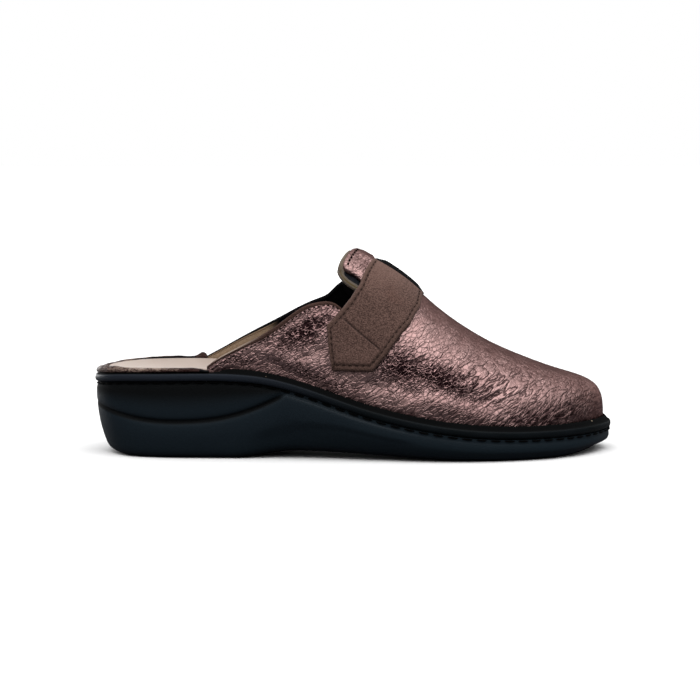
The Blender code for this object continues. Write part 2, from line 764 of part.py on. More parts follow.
def upper():
    """Leather wall over toe and instep, with both quarters and the tongue's face."""
    lateral, medial = collar_lines()
    bound = beside(lateral, -(BINDING_WIDTH + GAP))[lateral[:, 0] < BINDING_END["lateral"]]
    slit = lateral[lateral[:, 0] > BINDING_END["lateral"] + 1.0]
    bound_medial = beside(medial, BINDING_WIDTH + GAP)[medial[:, 0] < BINDING_END["medial"]]
    tongue = curve_through(
        np.vstack((seen_from_side(SLIT_TONGUE_SIDE, "lateral"), over_instep(TONGUE_END))),
        TRIM_SPACING,
    )
    foot = 90.0 * GIRTH_SCALE
    rear_lateral = (bound[0, 0] - 0.3, -foot)
    rear_medial = (bound_medial[0, 0] - 0.3, foot)
    outline = np.vstack((
        straight(rear_lateral, (STATION_END, -foot), UPPER_SPACING),
        straight((STATION_END, -foot), (STATION_END, 0.0), UPPER_SPACING),
        straight((STATION_END, 0.0), (STATION_END, foot), UPPER_SPACING),
        straight((STATION_END, foot), rear_medial, UPPER_SPACING),
        straight(rear_medial, bound_medial[0], UPPER_SPACING),
        bound_medial,
        tongue[::-1],
        slit[::-1],
        bound[::-1],
        straight(bound[0], rear_lateral, UPPER_SPACING)[1:],
    ))
    return shell("upper", outline, UPPER_SPACING, -UPPER_WALL, 0.0, ROSE_LEATHER, toe=True)


def collar_binding(side):
    """Folded edge along one quarter, flush with the upper's wall."""
    lateral, medial = collar_lines()
    edge = lateral if side == "lateral" else medial
    edge = edge[edge[:, 0] < BINDING_END[side]]
    away = -BINDING_WIDTH if side == "lateral" else BINDING_WIDTH
    lower = beside(edge, away)
    outline = np.vstack((lower, edge[::-1]) if side == "lateral" else (edge, lower[::-1]))
    return shell(
        "collar_binding_" + side, outline, UPPER_SPACING, -UPPER_WALL, 0.0, BROWN_LEATHER,
    )


def tongue():
    """Padded flap under the leather of the throat."""
    corners = over_instep(TONGUE_OUTLINE)
    outline = curve_through(np.vstack((corners, corners[:1])), TRIM_SPACING)[:-1][::-1]
    top = -UPPER_WALL - GAP
    return shell("tongue", outline, TRIM_SPACING, top - TONGUE_PAD, top, TAN_LINING)


def strap():
    """Suede strap across the slit; its tab end lies a step prouder."""
    left = seen_from_side(STRAP_LEFT, "lateral")
    tab = seen_from_side(STRAP_TAB, "lateral")
    right = seen_from_side(STRAP_RIGHT, "lateral")
    corners = np.vstack((left, tab, right, over_instep(STRAP_TOP)))
    pieces = [
        straight(start, end, TRIM_SPACING)
        for start, end in zip(corners, np.roll(corners, -1, axis=0))
    ]
    seam = seen_from_side(STRAP_SEAM, "lateral")
    along = (seam[1] - seam[0]) / np.linalg.norm(seam[1] - seam[0])
    down = np.array((along[1], -along[0]))

    def over(flat):
        below = (flat - seam[0]) @ down
        step = smooth_step(-STRAP_SEAM_RAMP, STRAP_SEAM_RAMP, below)
        return GAP + STRAP_THICK + STRAP_TAB_STEP * step

    return shell("strap", np.vstack(pieces), TRIM_SPACING, GAP, over, BROWN_SUEDE)


def strap_elastic():
    """Black band from the strap's end over the ridge to the inner side."""
    corners = over_instep(ELASTIC_OUTLINE)
    pieces = [
        straight(start, end, TRIM_SPACING)
        for start, end in zip(corners, np.roll(corners, -1, axis=0))
    ]
    return shell(
        "strap_elastic", np.vstack(pieces), TRIM_SPACING, GAP, GAP + ELASTIC_THICK,
        BLACK_WEBBING,
    )


def main():
    """Build every piece of the slipper."""
    clear_scene()
    outsole()
    welt()
    insole()
    heel_bead()
    upper()
    collar_binding("lateral")
    collar_binding("medial")
    tongue()
    strap()
    strap_elastic()


main()
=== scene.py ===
"""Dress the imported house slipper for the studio.

The pieces repeat the outlines and the foot form of the part's solids on finer grids, add
creases, seams and stitches, and give every surface a procedural finish. Sizes are
millimetres and become metres as each mesh is made. +X runs from heel to toe, +Y to the
inner (medial) side of the foot and +Z up.
"""

import logging
import math
from collections import Counter
from dataclasses import dataclass, field
from enum import Enum
from typing import Callable, Sequence

import bpy
import numpy as np
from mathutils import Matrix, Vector, noise
from mathutils.geometry import delaunay_2d_cdt


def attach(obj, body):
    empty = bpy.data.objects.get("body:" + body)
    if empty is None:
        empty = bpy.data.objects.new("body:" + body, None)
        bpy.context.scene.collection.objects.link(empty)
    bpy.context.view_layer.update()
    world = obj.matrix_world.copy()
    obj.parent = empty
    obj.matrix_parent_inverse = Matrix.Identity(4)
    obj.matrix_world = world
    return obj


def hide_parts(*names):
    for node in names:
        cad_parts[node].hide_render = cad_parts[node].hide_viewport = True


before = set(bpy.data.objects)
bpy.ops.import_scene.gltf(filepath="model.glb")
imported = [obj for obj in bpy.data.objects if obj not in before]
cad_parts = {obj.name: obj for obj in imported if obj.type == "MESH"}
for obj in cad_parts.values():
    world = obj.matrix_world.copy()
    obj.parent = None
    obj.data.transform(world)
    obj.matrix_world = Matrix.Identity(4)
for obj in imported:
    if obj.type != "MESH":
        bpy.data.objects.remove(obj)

MM = 0.001
BODY = "root"
LOG = logging.getLogger("house_slipper")

Array = np.ndarray
Table = dict[str, Array]
Colour = tuple[float, float, float]
Faces = list[tuple[int, ...]]
Pair = tuple[float, float]
Triple = tuple[float, float, float]
Quad = tuple[float, float, float, float]
Socket = bpy.types.NodeSocket
Material = bpy.types.Material
SkinHeight = Callable[[Array, Array], Array]


class Side(Enum):
    """Side of the foot."""

    LATERAL = "lateral"
    MEDIAL = "medial"

    @property
    def sign(self) -> float:
        """Direction of the side along +Y."""
        return -1.0 if self is Side.LATERAL else 1.0


@dataclass(frozen=True)
class PerSide:
    """One number for each side of the foot."""

    lateral: float
    medial: float

    def at(self, side: Side) -> float:
        """Give one side's number."""
        return self.lateral if side is Side.LATERAL else self.medial


class LampKind(Enum):
    """Kind of studio lamp."""

    SKY = "SUN"
    PANEL = "AREA"


class Face(Enum):
    """Which face of a sheet a polygon belongs to."""

    OUTER = 0
    INNER = 1
    RIM = 2


def rows_of(columns: str, *rows: Sequence[float]) -> Table:
    """Declare a field that holds a short table.

    Args:
        columns: Names of the columns, parted by spaces.
        rows: One tuple of numbers for each row.

    Returns:
        A dataclass field whose value gives each column's numbers by its name.
    """
    named = dict(zip(columns.split(), np.array(rows, dtype=float).T))
    return field(repr=False, default_factory=lambda: dict(named))


def spline(knots: Array, values: Array, at: Array) -> Array:
    """Evaluate the natural cubic spline through some knots.

    Args:
        knots: Rising places of the knots.
        values: Value at each knot.
        at: Places to evaluate, held within the knots' range.

    Returns:
        The spline's value at each place.
    """
    knots = np.asarray(knots, dtype=float)
    values = np.asarray(values, dtype=float)
    at = np.asarray(at, dtype=float)
    count = len(knots)
    step = np.diff(knots)
    slope = np.diff(values) / step
    system = np.eye(count)
    right = np.zeros(count)
    for i in range(1, count - 1):
        system[i, i - 1:i + 2] = (step[i - 1], 2.0 * (step[i - 1] + step[i]), step[i])
        right[i] = 6.0 * (slope[i] - slope[i - 1])
    bend = np.linalg.solve(system, right)
    inside = np.clip(at, knots[0], knots[-1])
    cell = np.clip(np.searchsorted(knots, inside) - 1, 0, count - 2)
    width = step[cell]
    after = (inside - knots[cell]) / width
    before = 1.0 - after
    cubic = (before ** 3 - before) * bend[cell] + (after ** 3 - after) * bend[cell + 1]
    return before * values[cell] + after * values[cell + 1] + cubic * width ** 2 / 6.0


def smooth_step(low: float, high: float, at: Array) -> Array:
    """Ease from 0 at a low place to 1 at a high place."""
    share = np.clip((np.asarray(at, dtype=float) - low) / (high - low), 0.0, 1.0)
    return share * share * (3.0 - 2.0 * share)


def window(low: float, rise: float, fall: float, high: float, at: Array) -> Array:
    """Give 1 between two places, easing to 0 at an outer pair."""
    return smooth_step(low, rise, at) * (1.0 - smooth_step(fall, high, at))


def bump_at(middle: float, width: float, at: Array) -> Array:
    """Give a bell of height 1 that falls to about a third within its width."""
    return np.exp(-((np.asarray(at, dtype=float) - middle) / width) ** 2)


def arc_lengths(points: Array) -> Array:
    """Measure the running length from the first of some points to each."""
    return np.concatenate(([0.0], np.cumsum(np.linalg.norm(np.diff(points, axis=0), axis=1))))


def read_at(at: Array | float, run: Array, rows: Array) -> Array:
    """Read each column of some rows at running lengths."""
    return np.stack([np.interp(at, run, column) for column in rows.T], axis=-1)


def curve_through(points: Array, spacing: float) -> Array:
    """Sample the smooth open curve through a few points.

    Args:
        points: Points that the curve passes.
        spacing: Distance between samples.

    Returns:
        Points along the curve, both ends included.
    """
    points = np.asarray(points, dtype=float)
    knots = arc_lengths(points)
    count = max(2, int(round(knots[-1] / spacing)) + 1)
    at = np.linspace(0.0, knots[-1], count)
    return np.column_stack([spline(knots, points[:, k], at) for k in range(points.shape[1])])


def straight(start: Sequence[float], end: Sequence[float], spacing: float) -> Array:
    """Sample a straight line without its last point.

    Args:
        start: First point.
        end: Point at which the line stops short.
        spacing: Distance between samples.

    Returns:
        Points from start up to but not including end.
    """
    start = np.asarray(start, dtype=float)
    end = np.asarray(end, dtype=float)
    count = max(1, int(round(np.linalg.norm(end - start) / spacing)))
    return start + (end - start) * np.linspace(0.0, 1.0, count, endpoint=False)[:, None]


def polygon(corners: Array, spacing: float) -> Array:
    """Sample a closed outline with straight sides between its corners."""
    pairs = zip(corners, np.roll(corners, -1, axis=0))
    return np.vstack([straight(start, end, spacing) for start, end in pairs])


def beside(line: Array, width: float) -> Array:
    """Move a flat line to its left.

    Args:
        line: Flat points in order.
        width: Distance to move, negative for the right.

    Returns:
        The moved points.
    """
    along = np.gradient(line, axis=0)
    along /= np.linalg.norm(along, axis=1)[:, None]
    return line + np.column_stack((-along[:, 1], along[:, 0])) * width


def inside_of(outline: Array, points: Array) -> Array:
    """Tell which flat points lie inside a closed outline.

    Args:
        outline: Corners of the outline.
        points: Points to test.

    Returns:
        One truth value for each point.
    """
    inside = np.zeros(len(points), dtype=bool)
    for start, end in zip(outline, np.roll(outline, -1, axis=0)):
        if start[1] == end[1]:
            continue
        spans = (start[1] > points[:, 1]) != (end[1] > points[:, 1])
        share = (points[:, 1] - start[1]) / (end[1] - start[1])
        inside ^= spans & (points[:, 0] < start[0] + share * (end[0] - start[0]))
    return inside


def distance_to(line: Array, points: Array) -> Array:
    """Measure how far points lie from a line of straight pieces.

    Args:
        line: Points of the line, in the same number of dimensions.
        points: Points to measure from.

    Returns:
        The shortest distance of each point.
    """
    nearest = np.full(len(points), np.inf)
    for start, end in zip(line, line[1:]):
        side = end - start
        share = np.clip(((points - start) @ side) / max(side @ side, 1e-12), 0.0, 1.0)
        away = np.linalg.norm(points - (start + share[:, None] * side), axis=1)
        nearest = np.minimum(nearest, away)
    return nearest


def round_off(rows: Array, times: int, closed: bool = False) -> Array:
    """Cut the corners of a section, row by row.

    Args:
        rows: Section points on the first axis.
        times: How often the corners are cut.
        closed: Whether the last row joins the first.

    Returns:
        The softer section, with more rows.
    """
    for _ in range(times):
        ends = np.roll(rows, -1, axis=0) if closed else rows[1:]
        starts = rows if closed else rows[:-1]
        cut = np.stack((0.75 * starts + 0.25 * ends, 0.25 * starts + 0.75 * ends), axis=1)
        cut = cut.reshape((-1,) + rows.shape[1:])
        rows = cut if closed else np.concatenate((rows[:1], cut, rows[-1:]))
    return rows


def turned(x: Array, z: Array, tilt: float) -> tuple[Array, Array]:
    """Read places along and across a direction tilted by some degrees."""
    cosine, sine = math.cos(math.radians(tilt)), math.sin(math.radians(tilt))
    return x * cosine + z * sine, z * cosine - x * sine


def shut(outline: Array) -> Array:
    """Repeat an outline's first point at its end."""
    return np.vstack((outline, outline[:1]))


def edge_drop(radius: float, away: Array) -> Array:
    """Give the fall of a quarter-round edge at some distances from it."""
    left = np.clip(radius - away, 0.0, None)
    return radius - np.sqrt(np.clip(radius ** 2 - left ** 2, 0.0, None))


@dataclass
class SoleOutline:
    """Plan outline of the sole, sampled from the heel tip round the lateral side."""

    length: float = 258.0
    width: float = 96.0
    samples: int = 2400
    wrap: int = 5
    corners: Table = rows_of(
        "x y",
        (-129.0, 2.0), (-124.5, -13.0), (-114.0, -24.5), (-98.0, -31.0),
        (-75.0, -33.5), (-40.0, -36.0), (0.0, -43.0), (35.0, -48.0),
        (65.0, -46.5), (90.0, -38.5), (110.0, -24.0), (124.0, -4.0),
        (129.0, 13.0), (124.5, 30.0), (110.0, 41.5), (88.0, 47.0),
        (60.0, 48.0), (30.0, 44.5), (0.0, 38.5), (-35.0, 34.5),
        (-75.0, 36.0), (-98.0, 34.5), (-114.0, 28.0), (-124.5, 16.5),
    )
    points: Array = field(init=False, repr=False)
    inward: Array = field(init=False, repr=False)
    toe: int = field(init=False)

    def __post_init__(self) -> None:
        """Sample the outline and its inward normals."""
        corners = np.column_stack((self.corners["x"], self.corners["y"]))
        around = np.vstack((corners[-self.wrap:], corners, corners[:self.wrap + 1]))
        knots = arc_lengths(around)
        first, last = knots[self.wrap], knots[self.wrap + len(corners)]
        at = np.linspace(first, last, self.samples, endpoint=False)
        points = np.column_stack([spline(knots, around[:, k], at) for k in (0, 1)])
        low, high = points.min(axis=0), points.max(axis=0)
        size = np.array((self.length, self.width))
        points = (points - (low + high) / 2.0) / (high - low) * size
        self.points = np.roll(points, -int(points[:, 0].argmin()), axis=0)
        along = np.roll(self.points, -1, axis=0) - np.roll(self.points, 1, axis=0)
        along /= np.linalg.norm(along, axis=1)[:, None]
        self.inward = np.column_stack((-along[:, 1], along[:, 0]))
        self.toe = int(self.points[:, 0].argmax())

    def branch(self, side: Side, inset: float) -> Array:
        """Give one side's edge from heel tip to toe tip.

        Args:
            side: Which side of the foot.
            inset: Distance moved inward.

        Returns:
            Plan points along the edge.
        """
        moved = self.points + self.inward * inset
        if side is Side.LATERAL:
            return moved[:self.toe + 1]
        return np.vstack((moved[self.toe:], moved[:1]))[::-1]

    def stations(self, per_side: int) -> Array:
        """Choose samples at even steps, paired from side to side.

        Args:
            per_side: Number of stations on each side.

        Returns:
            Numbers of the chosen samples.
        """
        chosen = []
        for low, high in ((0, self.toe), (self.toe, self.samples)):
            loop = shut(self.points)[low:high + 1]
            run = arc_lengths(loop)
            at = np.linspace(0.0, run[-1], per_side, endpoint=False)
            chosen.extend(low + int(np.abs(run - step).argmin()) for step in at)
        return np.array(chosen)

    def ring(self, chosen: Array, inset: Array | float) -> Array:
        """Place chosen stations in plan, at one inset or one for each."""
        inset = np.broadcast_to(np.asarray(inset, dtype=float), chosen.shape)
        return self.points[chosen] + self.inward[chosen] * inset[:, None]


@dataclass
class SoleLevels:
    """Heights of the sole's layers along its length."""

    gap: float = 0.3
    band: float = 3.8
    shoulder_low: float = 0.3
    shoulder_high: float = 2.5
    shoulder_range: Pair = (-70.0, -59.0)
    arch_rise: float = 3.4
    arch_range: Triple = (-62.0, -28.0, 70.0)
    heel_bevel: Pair = (-108.0, 0.8)
    toe_spring: Pair = (90.0, 3.2)
    half_length: float = 129.0
    welt_line: Table = rows_of(
        "x top",
        (-129.0, 38.6), (-118.0, 40.2), (-99.0, 41.2), (-80.0, 41.6), (-60.0, 41.5),
        (-46.0, 40.3), (-37.0, 38.6), (-21.5, 34.3), (1.5, 26.6), (24.0, 20.8),
        (46.5, 16.9), (69.0, 14.9), (94.0, 14.3), (115.0, 14.3), (129.0, 14.5),
    )

    def welt_top(self, x: Array) -> Array:
        """Height of the band's upper edge."""
        return spline(self.welt_line["x"], self.welt_line["top"], x)

    def seat_top(self, x: Array) -> Array:
        """Height of the outsole's upper face."""
        return self.welt_top(x) - self.band - self.gap

    def layer_floor(self, x: Array) -> Array:
        """Height at which the pieces on the outsole begin."""
        return self.seat_top(x) + self.gap

    def shoulder(self, x: Array) -> Array:
        """Rise of the welt's top from its outer edge to the upper."""
        rise = smooth_step(*self.shoulder_range, x)
        return self.shoulder_low + (self.shoulder_high - self.shoulder_low) * rise

    def arch(self, x: Array) -> Array:
        """Share of the arch's rise."""
        back, crown, front = self.arch_range
        return window(back, crown, crown, front, x)

    def tread(self, x: Array) -> Array:
        """Work out the tread: flat at heel and ball, raised at arch and both tips.

        Args:
            x: Places along the sole.

        Returns:
            Heights of the tread.
        """
        x = np.asarray(x, dtype=float)
        bevel_from, bevel = self.heel_bevel
        heel = np.clip(bevel_from - x, 0.0, None) / (bevel_from + self.half_length)
        spring_from, spring = self.toe_spring
        toe = np.clip(x - spring_from, 0.0, None) / (self.half_length - spring_from)
        return self.arch_rise * self.arch(x) + bevel * heel ** 2 + spring * toe ** 2


@dataclass
class FootForm:
    """Outer skin of the upper, as ribs that fan round the toe.

    Girth is an angle: -90 at the lateral feather line, 0 on the ridge, 90 at the medial
    feather line. Flat pattern points are station and girth times girth_scale.
    """

    outline: SoleOutline
    levels: SoleLevels
    feather_inset: float = 3.8
    fan_start: float = 45.0
    fan_length: float = 95.0
    spine_end: float = 96.0
    spine_ease: float = 1.5
    girth_scale: float = 0.85
    probe: float = 0.25
    ridge: Table = rows_of(
        "x height side",
        (-80.0, 140.0, 2.0), (-40.0, 123.0, 3.0), (-10.0, 107.0, 4.0), (0.0, 101.0, 4.0),
        (12.0, 94.3, 4.5), (23.0, 87.2, 5.0), (34.0, 77.8, 5.5), (39.7, 72.7, 6.0),
        (56.0, 60.7, 7.0), (67.0, 54.2, 8.0), (78.0, 49.0, 9.0), (89.5, 44.3, 10.0),
        (100.5, 40.4, 11.0), (111.5, 37.4, 12.0), (128.0, 33.2, 13.0),
    )
    fullness: Table = rows_of(
        "station lateral medial",
        (-80.0, 2.0, 2.0), (0.0, 2.0, 2.05), (45.0, 2.15, 2.3), (80.0, 2.4, 2.7),
        (110.0, 3.3, 3.5), (140.0, 5.0, 5.0),
    )
    feather: dict[Side, tuple[Array, Array, float]] = field(init=False, repr=False)

    def __post_init__(self) -> None:
        """Prepare the feather line of both sides."""
        self.feather = {}
        for side in Side:
            edge = self.outline.branch(side, self.feather_inset)
            run = arc_lengths(edge)
            self.feather[side] = (edge, run, float(np.interp(self.fan_start, edge[:, 0], run)))

    @property
    def station_end(self) -> float:
        """Station of the rib down the middle of the toe."""
        return self.fan_start + self.fan_length

    @property
    def foot_edge(self) -> float:
        """Flat pattern distance from the ridge to the feather line."""
        return 90.0 * self.girth_scale

    def feather_point(self, station: Array, side: Side) -> Array:
        """Find the foot of a rib.

        Args:
            station: Stations: x up to the fan, then along the edge.
            side: Which side of the foot.

        Returns:
            Plan points on the feather line.
        """
        edge, run, start = self.feather[side]
        share = np.clip((station - self.fan_start) / self.fan_length, 0.0, 1.0)
        at = np.where(
            station <= self.fan_start,
            np.interp(station, edge[:, 0], run),
            start + (run[-1] - start) * share,
        )
        return read_at(at, run, edge)

    def ridge_height(self, x: Array) -> Array:
        """Height of the form's top line."""
        return spline(self.ridge["x"], self.ridge["height"], x)

    def point(self, flat: Array) -> Array:
        """Lay flat pattern points on the form.

        Args:
            flat: Flat pattern points.

        Returns:
            Points on the outer skin.
        """
        station = flat[:, 0]
        girth = np.clip(flat[:, 1] / self.girth_scale, -90.0, 90.0)
        share = np.clip((station - self.fan_start) / self.fan_length, 0.0, 1.0)
        fanned = self.spine_end - self.fan_start
        spine_x = np.where(
            station <= self.fan_start,
            station,
            self.fan_start + fanned * (1.0 - (1.0 - share) ** self.spine_ease),
        )
        spine = np.column_stack((spine_x, spline(self.ridge["x"], self.ridge["side"], spine_x)))
        medial = girth > 0.0
        foot = np.where(
            medial[:, None],
            self.feather_point(station, Side.MEDIAL),
            self.feather_point(station, Side.LATERAL),
        )
        full = np.where(
            medial,
            spline(self.fullness["station"], self.fullness["medial"], station),
            spline(self.fullness["station"], self.fullness["lateral"], station),
        )
        angle = np.radians(90.0 - np.abs(girth))
        cosine = np.clip(np.cos(angle), 0.0, 1.0)
        sine = np.clip(np.sin(angle), 0.0, 1.0)
        reach = (cosine ** full + sine ** full) ** (-1.0 / full)
        plan = spine + (foot - spine) * (reach * cosine)[:, None]
        floor = self.levels.layer_floor(foot[:, 0])
        height = floor + (self.ridge_height(plan[:, 0]) - floor) * reach * sine
        return np.column_stack((plan, height))

    def normal(self, flat: Array) -> Array:
        """Find the outward direction of the skin.

        Args:
            flat: Flat pattern points.

        Returns:
            One unit vector for each point.
        """
        step = self.probe
        turn = step * self.girth_scale
        station, across = flat[:, 0], flat[:, 1]
        ahead = np.minimum(station + step, self.station_end)
        along = self.point(np.column_stack((ahead, across)))
        along = along - self.point(np.column_stack((station - step, across)))
        upward = np.minimum(across + turn, self.foot_edge)
        girthwise = self.point(np.column_stack((station, upward)))
        downward = np.maximum(across - turn, -self.foot_edge)
        girthwise = girthwise - self.point(np.column_stack((station, downward)))
        normal = np.cross(along, girthwise)
        spine_x = self.point(np.column_stack((station, np.zeros_like(across))))[:, 0]
        rise = self.ridge_height(spine_x + step) - self.ridge_height(spine_x - step)
        slope = rise / (2.0 * step)
        level = np.column_stack((-slope, np.zeros_like(slope), np.ones_like(slope)))
        normal = np.where((np.abs(across) < turn)[:, None], level, normal)
        return normal / np.linalg.norm(normal, axis=1)[:, None]

    def seen_from_side(self, rows: Table, side: Side) -> Array:
        """Turn a table of x and height into flat pattern points.

        Args:
            rows: Columns x and height, behind the fan.
            side: Which side of the foot.

        Returns:
            Flat pattern points.
        """
        x = rows["x"]
        floor = self.levels.layer_floor(x)
        rise = np.clip((rows["height"] - floor) / (self.ridge_height(x) - floor), 0.0, 0.999)
        full = spline(self.fullness["station"], self.fullness[side.value], x)
        out = (1.0 - rise ** full) ** (1.0 / full)
        angle = 90.0 - np.degrees(np.arctan2(rise, out))
        return np.column_stack((x, side.sign * angle * self.girth_scale))

    def over_instep(self, rows: Table) -> Array:
        """Turn a table of x and girth into flat pattern points."""
        return np.column_stack((rows["x"], rows["girth"] * self.girth_scale))


@dataclass
class UpperPattern:
    """Cutting lines of the upper, bindings, tongue, strap and elastic on the form."""

    form: FootForm
    binding_end: PerSide = PerSide(-4.0, -10.2)
    binding_reach: PerSide = PerSide(-2.5, -5.0)
    lateral_collar: Table = rows_of(
        "x height",
        (-71.6, 44.8), (-67.0, 48.3), (-60.2, 52.2), (-53.4, 55.8), (-45.7, 59.8),
        (-37.2, 65.3), (-29.0, 71.4), (-23.4, 74.6), (-17.9, 76.1), (-13.4, 76.5),
        (-10.1, 75.8), (-6.8, 73.6), (-4.0, 70.6), (1.0, 66.0), (9.0, 61.0), (18.0, 57.0),
    )
    slit_tongue_side: Table = rows_of(
        "x height", (21.0, 59.0), (12.0, 75.0), (2.9, 86.9), (-1.2, 89.8),
    )
    tongue_end: Table = rows_of(
        "x girth",
        (-4.6, -31.8), (-5.3, -29.6), (-4.9, -26.0), (-3.4, -19.5), (-1.4, -10.0),
        (0.2, 0.0), (0.4, 12.0), (-1.0, 24.0), (-3.4, 36.0), (-6.6, 44.5),
    )
    medial_collar: Table = rows_of(
        "x height",
        (-6.2, 83.6), (-9.9, 80.6), (-13.8, 76.8), (-18.5, 74.6), (-26.8, 71.0),
        (-38.0, 64.9), (-49.3, 59.0), (-60.6, 52.8), (-68.0, 48.6), (-75.0, 44.8),
    )
    tongue_outline: Table = rows_of(
        "x girth",
        (-0.3, 0.0), (-2.1, -10.0), (-4.7, -21.0), (-6.8, -29.0), (-7.1, -34.0),
        (-5.0, -37.0), (2.3, -38.8), (9.0, -42.5), (17.0, -49.0), (23.0, -46.0),
        (26.0, -25.0), (27.0, 0.0), (26.0, 25.0), (21.0, 46.0), (8.0, 48.0),
        (-4.0, 46.0), (-5.8, 40.0), (-3.2, 28.0), (-0.5, 14.0),
    )
    strap_left: Table = rows_of(
        "x height",
        (2.2, 83.4), (-2.1, 77.2), (-6.4, 72.0), (-10.6, 67.4), (-13.4, 64.9),
    )
    strap_tab: Table = rows_of(
        "x height",
        (-12.9, 59.4), (-12.3, 53.0), (-10.7, 43.4), (-1.2, 43.2), (8.6, 43.2),
    )
    strap_right: Table = rows_of(
        "x height", (14.9, 50.5), (20.5, 58.3), (26.3, 64.7), (31.0, 71.9),
    )
    strap_top: Table = rows_of(
        "x girth", (32.6, -13.8), (20.5, -13.2), (8.6, -12.4),
    )
    strap_seam: Table = rows_of(
        "x height", (-6.5, 67.9), (12.1, 52.6),
    )
    elastic: Table = rows_of(
        "x girth",
        (8.8, -11.8), (20.5, -12.6), (32.6, -13.2), (34.5, 0.0), (32.5, 22.0),
        (25.0, 46.0), (18.0, 62.0), (5.0, 62.0), (-7.0, 62.0), (-1.0, 46.0),
        (9.0, 22.0), (10.6, 0.0),
    )

    def collar(self, side: Side, spacing: float) -> Array:
        """Give a collar edge in the flat pattern.

        Args:
            side: Which side of the foot.
            spacing: Distance between samples.

        Returns:
            Flat points running away from the heel.
        """
        if side is Side.LATERAL:
            return curve_through(self.form.seen_from_side(self.lateral_collar, side), spacing)
        return curve_through(self.form.seen_from_side(self.medial_collar, side), spacing)[::-1]

    def below_collar(self, side: Side, width: float, spacing: float) -> Array:
        """Give a line beside a collar edge, on the upper's side of it.

        Args:
            side: Which side of the foot.
            width: Distance from the edge.
            spacing: Distance between samples.

        Returns:
            Flat points up to the binding's end.
        """
        edge = self.collar(side, spacing)
        moved = beside(edge, width if side is Side.MEDIAL else -width)
        return moved[edge[:, 0] < self.binding_end.at(side)]

    def tongue_edge(self, spacing: float) -> Array:
        """Give the slit's front edge and the tongue's end.

        Args:
            spacing: Distance between samples.

        Returns:
            Flat points from the slit's foot over to the medial collar.
        """
        slit = self.form.seen_from_side(self.slit_tongue_side, Side.LATERAL)
        return curve_through(np.vstack((slit, self.form.over_instep(self.tongue_end))), spacing)

    def past_tongue(self, flat: Array) -> Array:
        """Measure how far points lie behind the leather of the tongue's end.

        Args:
            flat: Flat pattern points.

        Returns:
            Distances, negative on the leather and beside it.
        """
        girth = flat[:, 1] / self.form.girth_scale
        low, high = self.tongue_end["girth"][[0, -1]]
        end = np.interp(girth, self.tongue_end["girth"], self.tongue_end["x"])
        return np.where((girth > low) & (girth < high), end - flat[:, 0], -1.0)

    def strap_border(self) -> Array:
        """Follow the strap's left side, tab and right side.

        Returns:
            Flat corners, from top to top.
        """
        rows = (self.strap_left, self.strap_tab, self.strap_right)
        sides = [self.form.seen_from_side(part, Side.LATERAL) for part in rows]
        top = self.form.over_instep(self.strap_top)
        return np.vstack((top[-1:], *sides, top[:1]))

    def strap_corners(self) -> Array:
        """Corners of the whole strap."""
        return np.vstack((self.strap_border(), self.form.over_instep(self.strap_top)[1:-1]))


class Skin:
    """A mesh put together from rings and caps."""

    def __init__(self) -> None:
        """Start with no points."""
        self.points: list[list[float]] = []
        self.faces: Faces = []
        self.marks: list[int] = []

    def add(self, points: Array) -> list[int]:
        """Add points and give their numbers.

        Args:
            points: Points to add.

        Returns:
            The numbers of the new points.
        """
        start = len(self.points)
        self.points.extend(np.asarray(points, dtype=float).reshape(-1, 3).tolist())
        return list(range(start, len(self.points)))

    def face(self, corners: Sequence[int], mark: int = 0) -> None:
        """Add one face with its material number."""
        self.faces.append(tuple(corners))
        self.marks.append(mark)

    def bridge(
        self, low: Sequence[int], high: Sequence[int], closed: bool = True, mark: int = 0
    ) -> None:
        """Join two rings of equal count.

        Args:
            low: Numbers of the first ring.
            high: Numbers of the second ring.
            closed: Whether the rings close on themselves.
            mark: Material number of the faces.
        """
        count = len(low)
        for i in range(count if closed else count - 1):
            j = (i + 1) % count
            self.face((low[i], low[j], high[j], high[i]), mark)

    def wrap(self, rows: Array, closed: bool = False) -> list[list[int]]:
        """Add rings and join each to the next.

        Args:
            rows: Points of each ring.
            closed: Whether the last ring joins the first.

        Returns:
            The numbers of each ring's points.
        """
        rings = [self.add(row) for row in rows]
        for low, high in zip(rings, rings[1:] + rings[:1] * closed):
            self.bridge(low, high)
        return rings

    def cap(
        self,
        rim: Sequence[int],
        level: Callable[[Array, Array, Array], Array],
        columns: int,
        up: bool,
    ) -> None:
        """Close a ring with rows from side to side.

        Args:
            rim: Numbers of the ring, paired from side to side.
            level: Height from x, y and the share across, which runs from -1 to 1.
            columns: Number of faces in a row.
            up: Whether the cap looks up.
        """
        half = len(rim) // 2
        rim_points = np.array([self.points[i] for i in rim])
        start, end = rim_points[1:half], rim_points[-1:half:-1]
        share = np.arange(1, columns) / columns
        spots = start[:, None, :] + (end - start)[:, None, :] * share[None, :, None]
        across = np.broadcast_to(2.0 * share - 1.0, spots.shape[:2])
        spots[..., 2] = level(spots[..., 0], spots[..., 1], across)
        rows = [[rim[0]]]
        for i, row in enumerate(spots, start=1):
            rows.append([rim[i], *self.add(row), rim[-i]])
        rows.append([rim[half]])
        for back, front in zip(rows, rows[1:]):
            self.row_faces(back, front, up)

    def row_faces(self, back: Sequence[int], front: Sequence[int], up: bool) -> None:
        """Fill between two rows, either of which may be a single point.

        Args:
            back: Numbers of the row nearer the heel.
            front: Numbers of the row nearer the toe.
            up: Whether the faces look up.
        """
        if len(back) == 1:
            fresh = [(back[0], front[k], front[k + 1]) for k in range(len(front) - 1)]
        elif len(front) == 1:
            fresh = [(back[k], front[0], back[k + 1]) for k in range(len(back) - 1)]
        else:
            fresh = [
                (back[k], front[k], front[k + 1], back[k + 1]) for k in range(len(back) - 1)
            ]
        for corners in fresh:
            self.face(corners if up else corners[::-1])


